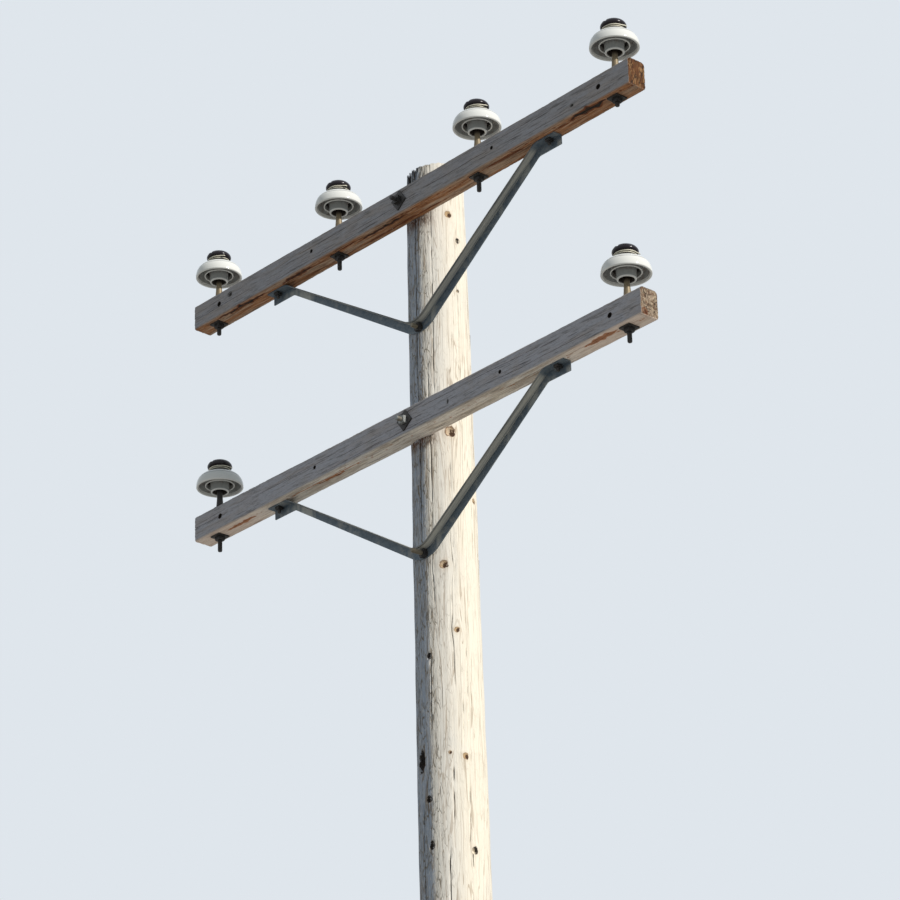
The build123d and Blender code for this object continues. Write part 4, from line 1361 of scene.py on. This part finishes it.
class POLE_OT_crossarms(bpy.types.Operator):
    """Build both sawn crossarms with their checks, worn ends and open bolt holes"""

    bl_idname = "utility_pole.crossarms"
    bl_label = "Crossarms"

    def execute(self, context):
        for tier in TIERS:
            points, faces, attributes = arm_surface(tier, settings("arm_shape"))
            wood = grey_arm_wood(tier, settings("pole_colours"))
            arm = make_surface(f"sawn_arm_{tier}", points, faces, wood, attributes)
            self.bore(arm, [self.cutter(mount, sign) for mount in arm_holes(tier) for sign in (-1, 1)])
            arm.data.set_sharp_from_angle(angle=math.radians(32))
            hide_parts(f"crossarm_{tier}")
        return {"FINISHED"}

    def cutter(self, mount, sign):
        """Points and faces of a round bar along Y through one of a mount's two holes."""
        sides = 24
        turn = np.arange(sides) * TURN / sides
        radius = mount["dims"]["hole_r_mm"] / 1000.0
        _, y, z = mount["pos_m"]
        place = (sign * mount["dims"]["spacing_x_mm"] / 2000.0, y - BORE_LEAD, z)
        near = np.stack([radius * np.cos(turn), 0 * turn, radius * np.sin(turn)], -1) + place
        index = np.arange(sides)
        quads = ring_quads(index, index + sides)[:, ::-1]
        return np.concatenate([near, near + (0, BORE_LENGTH, 0)]), quads

    def bore(self, arm, cutters):
        """Cuts the bars out of the arm."""
        points, quads = joined(cutters)
        rings = np.arange(len(points)).reshape(len(cutters), 2, -1)
        caps = [near.tolist() for near, _ in rings] + [far[::-1].tolist() for _, far in rings]
        mesh = bpy.data.meshes.new("bore_cutter")
        mesh.from_pydata(points.tolist(), [], quads.tolist() + caps)
        mesh.update()
        cutter = bpy.data.objects.new("bore_cutter", mesh)
        bpy.context.scene.collection.objects.link(cutter)
        change = arm.modifiers.new("Bores", "BOOLEAN")
        change.operation = "DIFFERENCE"
        change.solver = "EXACT"
        change.object = cutter
        bpy.context.view_layer.update()
        view = bpy.context.evaluated_depsgraph_get()
        cut = arm.evaluated_get(view)
        result = bpy.data.meshes.new_from_object(cut, preserve_all_data_layers=True, depsgraph=view)
        arm.modifiers.clear()
        old = arm.data
        arm.data = result
        bpy.data.meshes.remove(old)
        bpy.data.objects.remove(cutter)
        bpy.data.meshes.remove(mesh)


class POLE_OT_braces(bpy.types.Operator):
    """Finish both one-piece angle braces in dull zinc"""

    bl_idname = "utility_pole.braces"
    bl_label = "Braces"

    def execute(self, context):
        for tier in TIERS:
            dress([f"brace_{tier}"], dull_zinc(tier, settings("pole_colours")))
        return {"FINISHED"}


class POLE_OT_hardware(bpy.types.Operator):
    """Finish bolts, washers and nuts, and thread the bolts' open ends"""

    bl_idname = "utility_pole.hardware"
    bl_label = "Bolts and washers"

    def execute(self, context):
        colours = settings("pole_colours")
        shape = settings("hardware_shape")
        dark = dark_steel("Dark washer steel", colours.steel_dark, colours.zinc, colours, 0.30)
        pale = dark_steel("Worn bolt steel", colours.zinc_pale, colours.steel_pale, colours, 0.15)
        bronze = dark_steel("Stained bolt steel", colours.steel_stained, colours.steel_straw, colours, 0.20)
        for tier in TIERS:
            dress([f"{kind}_{tier}" for kind in DARK_HARDWARE], dark)
            dress([f"arm_bolt_{tier}", f"arm_bolt_nut_{tier}"], dark if tier == "upper" else pale)
            dress([f"brace_bolt_{tier}"], bronze)
            for kind in ("arm", "brace"):
                nut = f"{kind}_bolt_nut_{tier}"
                x, _, z = centre_of(nut)
                y = corners(nut)[0][1]
                length = y - corners(f"{kind}_bolt_{tier}")[0][1] - THREAD_CLEARANCE
                points, faces = thread_surface(length, shape)
                steel = dark if (kind, tier) == ("arm", "upper") else bronze
                points = stand(points, "-Y", (x, y, z))
                make_surface(f"{kind}_bolt_thread_{tier}", points, [faces], steel)
        return {"FINISHED"}


class POLE_OT_insulators(bpy.types.Operator):
    """Glaze the six porcelain insulators in white with a dark crown"""

    bl_idname = "utility_pole.insulators"
    bl_label = "Insulators"

    def execute(self, context):
        glaze = {tier: two_tone_glaze(tier, settings("pole_colours")) for tier in TIERS}
        for number, tier in TIER_OF.items():
            dress([f"insulator_{number}"], glaze[tier])
        return {"FINISHED"}


class POLE_OT_pins(bpy.types.Operator):
    """Finish the insulator pins in weathered tan and thread their lower ends"""

    bl_idname = "utility_pole.pins"
    bl_label = "Insulator pins"

    def execute(self, context):
        colours = settings("pole_colours")
        black = dark_steel("Dark pin end", colours.steel_dark, colours.rust, colours, 0.20)
        for tier in TIERS:
            # The pins keep their own colours from the arm's top to just under the rim; above that they are
            # painted shade.
            own_colour_span = (ARM[tier][1][2] - 0.010, RIM_Z[tier] - 0.012)
            name = f"Weathered pin, {tier}"
            tan = dark_steel(name, colours.pin_tan, colours.pin_pale, colours, 0.35, own_colour_span)
            dress([f"insulator_pin_{number}" for number in of_tier(tier)], tan)
        dress([f"insulator_pin_{DARK_PIN}"], black)
        threads = []
        for number, tier in TIER_OF.items():
            pin = f"insulator_pin_{number}"
            x, y, _ = centre_of(pin)
            z = corners(f"pin_nuts_{tier}")[0][2]
            length = z - corners(pin)[0][2] - THREAD_CLEARANCE
            points, faces = thread_surface(length, settings("hardware_shape"))
            threads.append((stand(points, "-Z", (x, y, z)), faces))
        points, faces = joined(threads)
        make_surface("pin_threads", points, [faces], black)
        return {"FINISHED"}


class POLE_OT_ties(bpy.types.Operator):
    """Wind the tie wire round each insulator's neck"""

    bl_idname = "utility_pole.ties"
    bl_label = "Tie wires"

    def execute(self, context):
        shape = settings("hardware_shape")
        wire = dull_wire(settings("pole_colours"))
        for tier in TIERS:
            points, faces = joined([self.wind(number, RIM_Z[tier], shape) for number in of_tier(tier)])
            piece = make_surface(f"tie_wires_{tier}", points, [faces], wire)
            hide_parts(f"neck_ties_{tier}")
        return {"FINISHED"}

    def wind(self, number, rim, shape):
        """Nearly two turns of wire round a neck: a helix that keeps clear of it, with ends that stand off."""
        x, y, _ = centre_of(f"insulator_{number}")
        radius = shape.tie_wire
        t = np.linspace(0, 1, 130)
        angle = math.radians(70) + 0.2 * number + t * TIE_TURNS * TURN
        lift = (t - 0.5) * 2.7 * radius * TIE_TURNS + 0.0012
        bowed = 0.0020 * (lift / 0.0045) ** 2 + 0.0008 * np.sin(angle * 3.0 + number) ** 2
        flare = 0.007 * (ease(-t, -0.05, 0.0) + ease(t, 0.95, 1.0))
        out = shape.neck_radius + 0.0006 + radius + bowed + flare
        z = rim + shape.neck_height + lift
        return wire_surface(np.stack([x + out * np.cos(angle), y + out * np.sin(angle), z], -1), radius)


class POLE_OT_stage(bpy.types.Operator):
    """Set the floor, the light and the camera"""

    bl_idname = "utility_pole.stage"
    bl_label = "Stage"

    def execute(self, context):
        stage = settings("pole_stage")
        self.floor(context)
        self.light(context, stage)
        self.backdrop(context, stage)
        self.camera(context)
        context.scene.view_settings.view_transform = "Standard"
        return {"FINISHED"}

    def floor(self, context):
        """A round floor just under the pole's foot."""
        sides = 96
        radius = 60.0
        drop = 0.0005
        turn = np.arange(sides) * TURN / sides
        ring = np.stack([radius * np.cos(turn), radius * np.sin(turn), 0 * turn - drop], -1)
        mesh = bpy.data.meshes.new("floor")
        mesh.from_pydata(ring.tolist(), [], [list(range(sides))])
        mesh.materials.append(plain_floor(settings("pole_colours")))
        floor = bpy.data.objects.new("floor", mesh)
        context.scene.collection.objects.link(floor)

    def light(self, context, stage):
        """One soft lamp from the side and above."""
        lamp = bpy.data.lights.new("key", "SUN")
        lamp.energy = stage.key
        lamp.angle = stage.key_size
        lamp.color = stage.key_colour
        key = bpy.data.objects.new("key", lamp)
        level = math.cos(stage.key_height)
        x, y = math.cos(stage.key_side) * level, math.sin(stage.key_side) * level
        toward = np.array([x, y, math.sin(stage.key_height)])
        side = np.cross((0, 0, 1), toward)
        side = side / np.linalg.norm(side)
        key.matrix_world = placed(side, np.cross(toward, side), toward, toward * 30.0)
        context.scene.collection.objects.link(key)

    def backdrop(self, context, stage):
        """Even light from all round, and a plain background where the camera or a reflection sees it."""
        world = bpy.data.worlds.new("studio")
        world.use_nodes = True
        context.scene.world = world
        world.node_tree.nodes.clear()
        g = Graph(world.node_tree)
        even = g.put("ShaderNodeBackground", {"Color": stage.fill_colour, "Strength": stage.fill})
        plain = g.put("ShaderNodeBackground", {"Color": settings("pole_colours").backdrop, "Strength": 1.0})
        path = g.put("ShaderNodeLightPath").outputs
        seen = g.most(g.most(path["Is Camera Ray"], path["Is Glossy Ray"]), path["Is Transmission Ray"])
        both = g.put("ShaderNodeMixShader", {0: seen, 1: even.outputs[0], 2: plain.outputs[0]})
        g.put("ShaderNodeOutputWorld", {"Surface": both.outputs[0]})

    def camera(self, context):
        """The camera, low down on the near side and looking up."""
        flat = math.cos(VIEW_PITCH)
        ahead = np.array([-math.sin(VIEW_YAW) * flat, math.cos(VIEW_YAW) * flat, math.sin(VIEW_PITCH)])
        level = np.array([math.cos(VIEW_YAW), math.sin(VIEW_YAW), 0.0])
        over = np.cross(level, ahead)
        right = level * math.cos(VIEW_ROLL) + over * math.sin(VIEW_ROLL)
        up = over * math.cos(VIEW_ROLL) - level * math.sin(VIEW_ROLL)
        lens = bpy.data.cameras.new("view")
        lens.sensor_width = SENSOR_MM
        lens.lens = SENSOR_MM * FOCAL_PIXELS / PICTURE_PIXELS
        lens.clip_end = 200.0
        view = bpy.data.objects.new("view", lens)
        view.matrix_world = placed(right, up, -ahead, VIEW_PLACE)
        context.scene.collection.objects.link(view)
        context.scene.camera = view


OPERATORS = (
    POLE_OT_shaft,
    POLE_OT_crossarms,
    POLE_OT_braces,
    POLE_OT_hardware,
    POLE_OT_insulators,
    POLE_OT_pins,
    POLE_OT_ties,
    POLE_OT_stage,
)

PROPERTIES = {
    "pole_shape": PoleShape,
    "arm_shape": ArmShape,
    "hardware_shape": HardwareShape,
    "pole_colours": PoleColours,
    "pole_stage": StageSettings,
}


class POLE_PT_panel(bpy.types.Panel):
    """Sidebar list of the pole's pieces and settings"""

    bl_idname = "POLE_PT_panel"
    bl_label = "Utility Pole"
    bl_space_type = "VIEW_3D"
    bl_region_type = "UI"
    bl_category = "Pole"

    def draw(self, context):
        for operator in OPERATORS:
            self.layout.operator(operator.bl_idname)
        for name in PROPERTIES:
            box = self.layout.box()
            group = getattr(context.scene, name)
            for key in group.bl_rna.properties.keys():
                if key not in ("rna_type", "name"):
                    box.prop(group, key)


def register():
    """Registers the classes and hangs the settings on the scene."""
    for group in PROPERTIES.values():
        bpy.utils.register_class(group)
    for operator in OPERATORS:
        bpy.utils.register_class(operator)
    bpy.utils.register_class(POLE_PT_panel)
    for name, group in PROPERTIES.items():
        setattr(bpy.types.Scene, name, PointerProperty(type=group))


def unregister():
    """Takes away what register added."""
    for name in PROPERTIES:
        delattr(bpy.types.Scene, name)
    bpy.utils.unregister_class(POLE_PT_panel)
    for operator in reversed(OPERATORS):
        bpy.utils.unregister_class(operator)
    for group in reversed(list(PROPERTIES.values())):
        bpy.utils.unregister_class(group)


def main():
    """Builds every piece and the stage."""
    register()
    for operator in OPERATORS:
        space, action = operator.bl_idname.split(".")
        getattr(getattr(bpy.ops, space), action)()


if __name__ == "__main__":
    main()
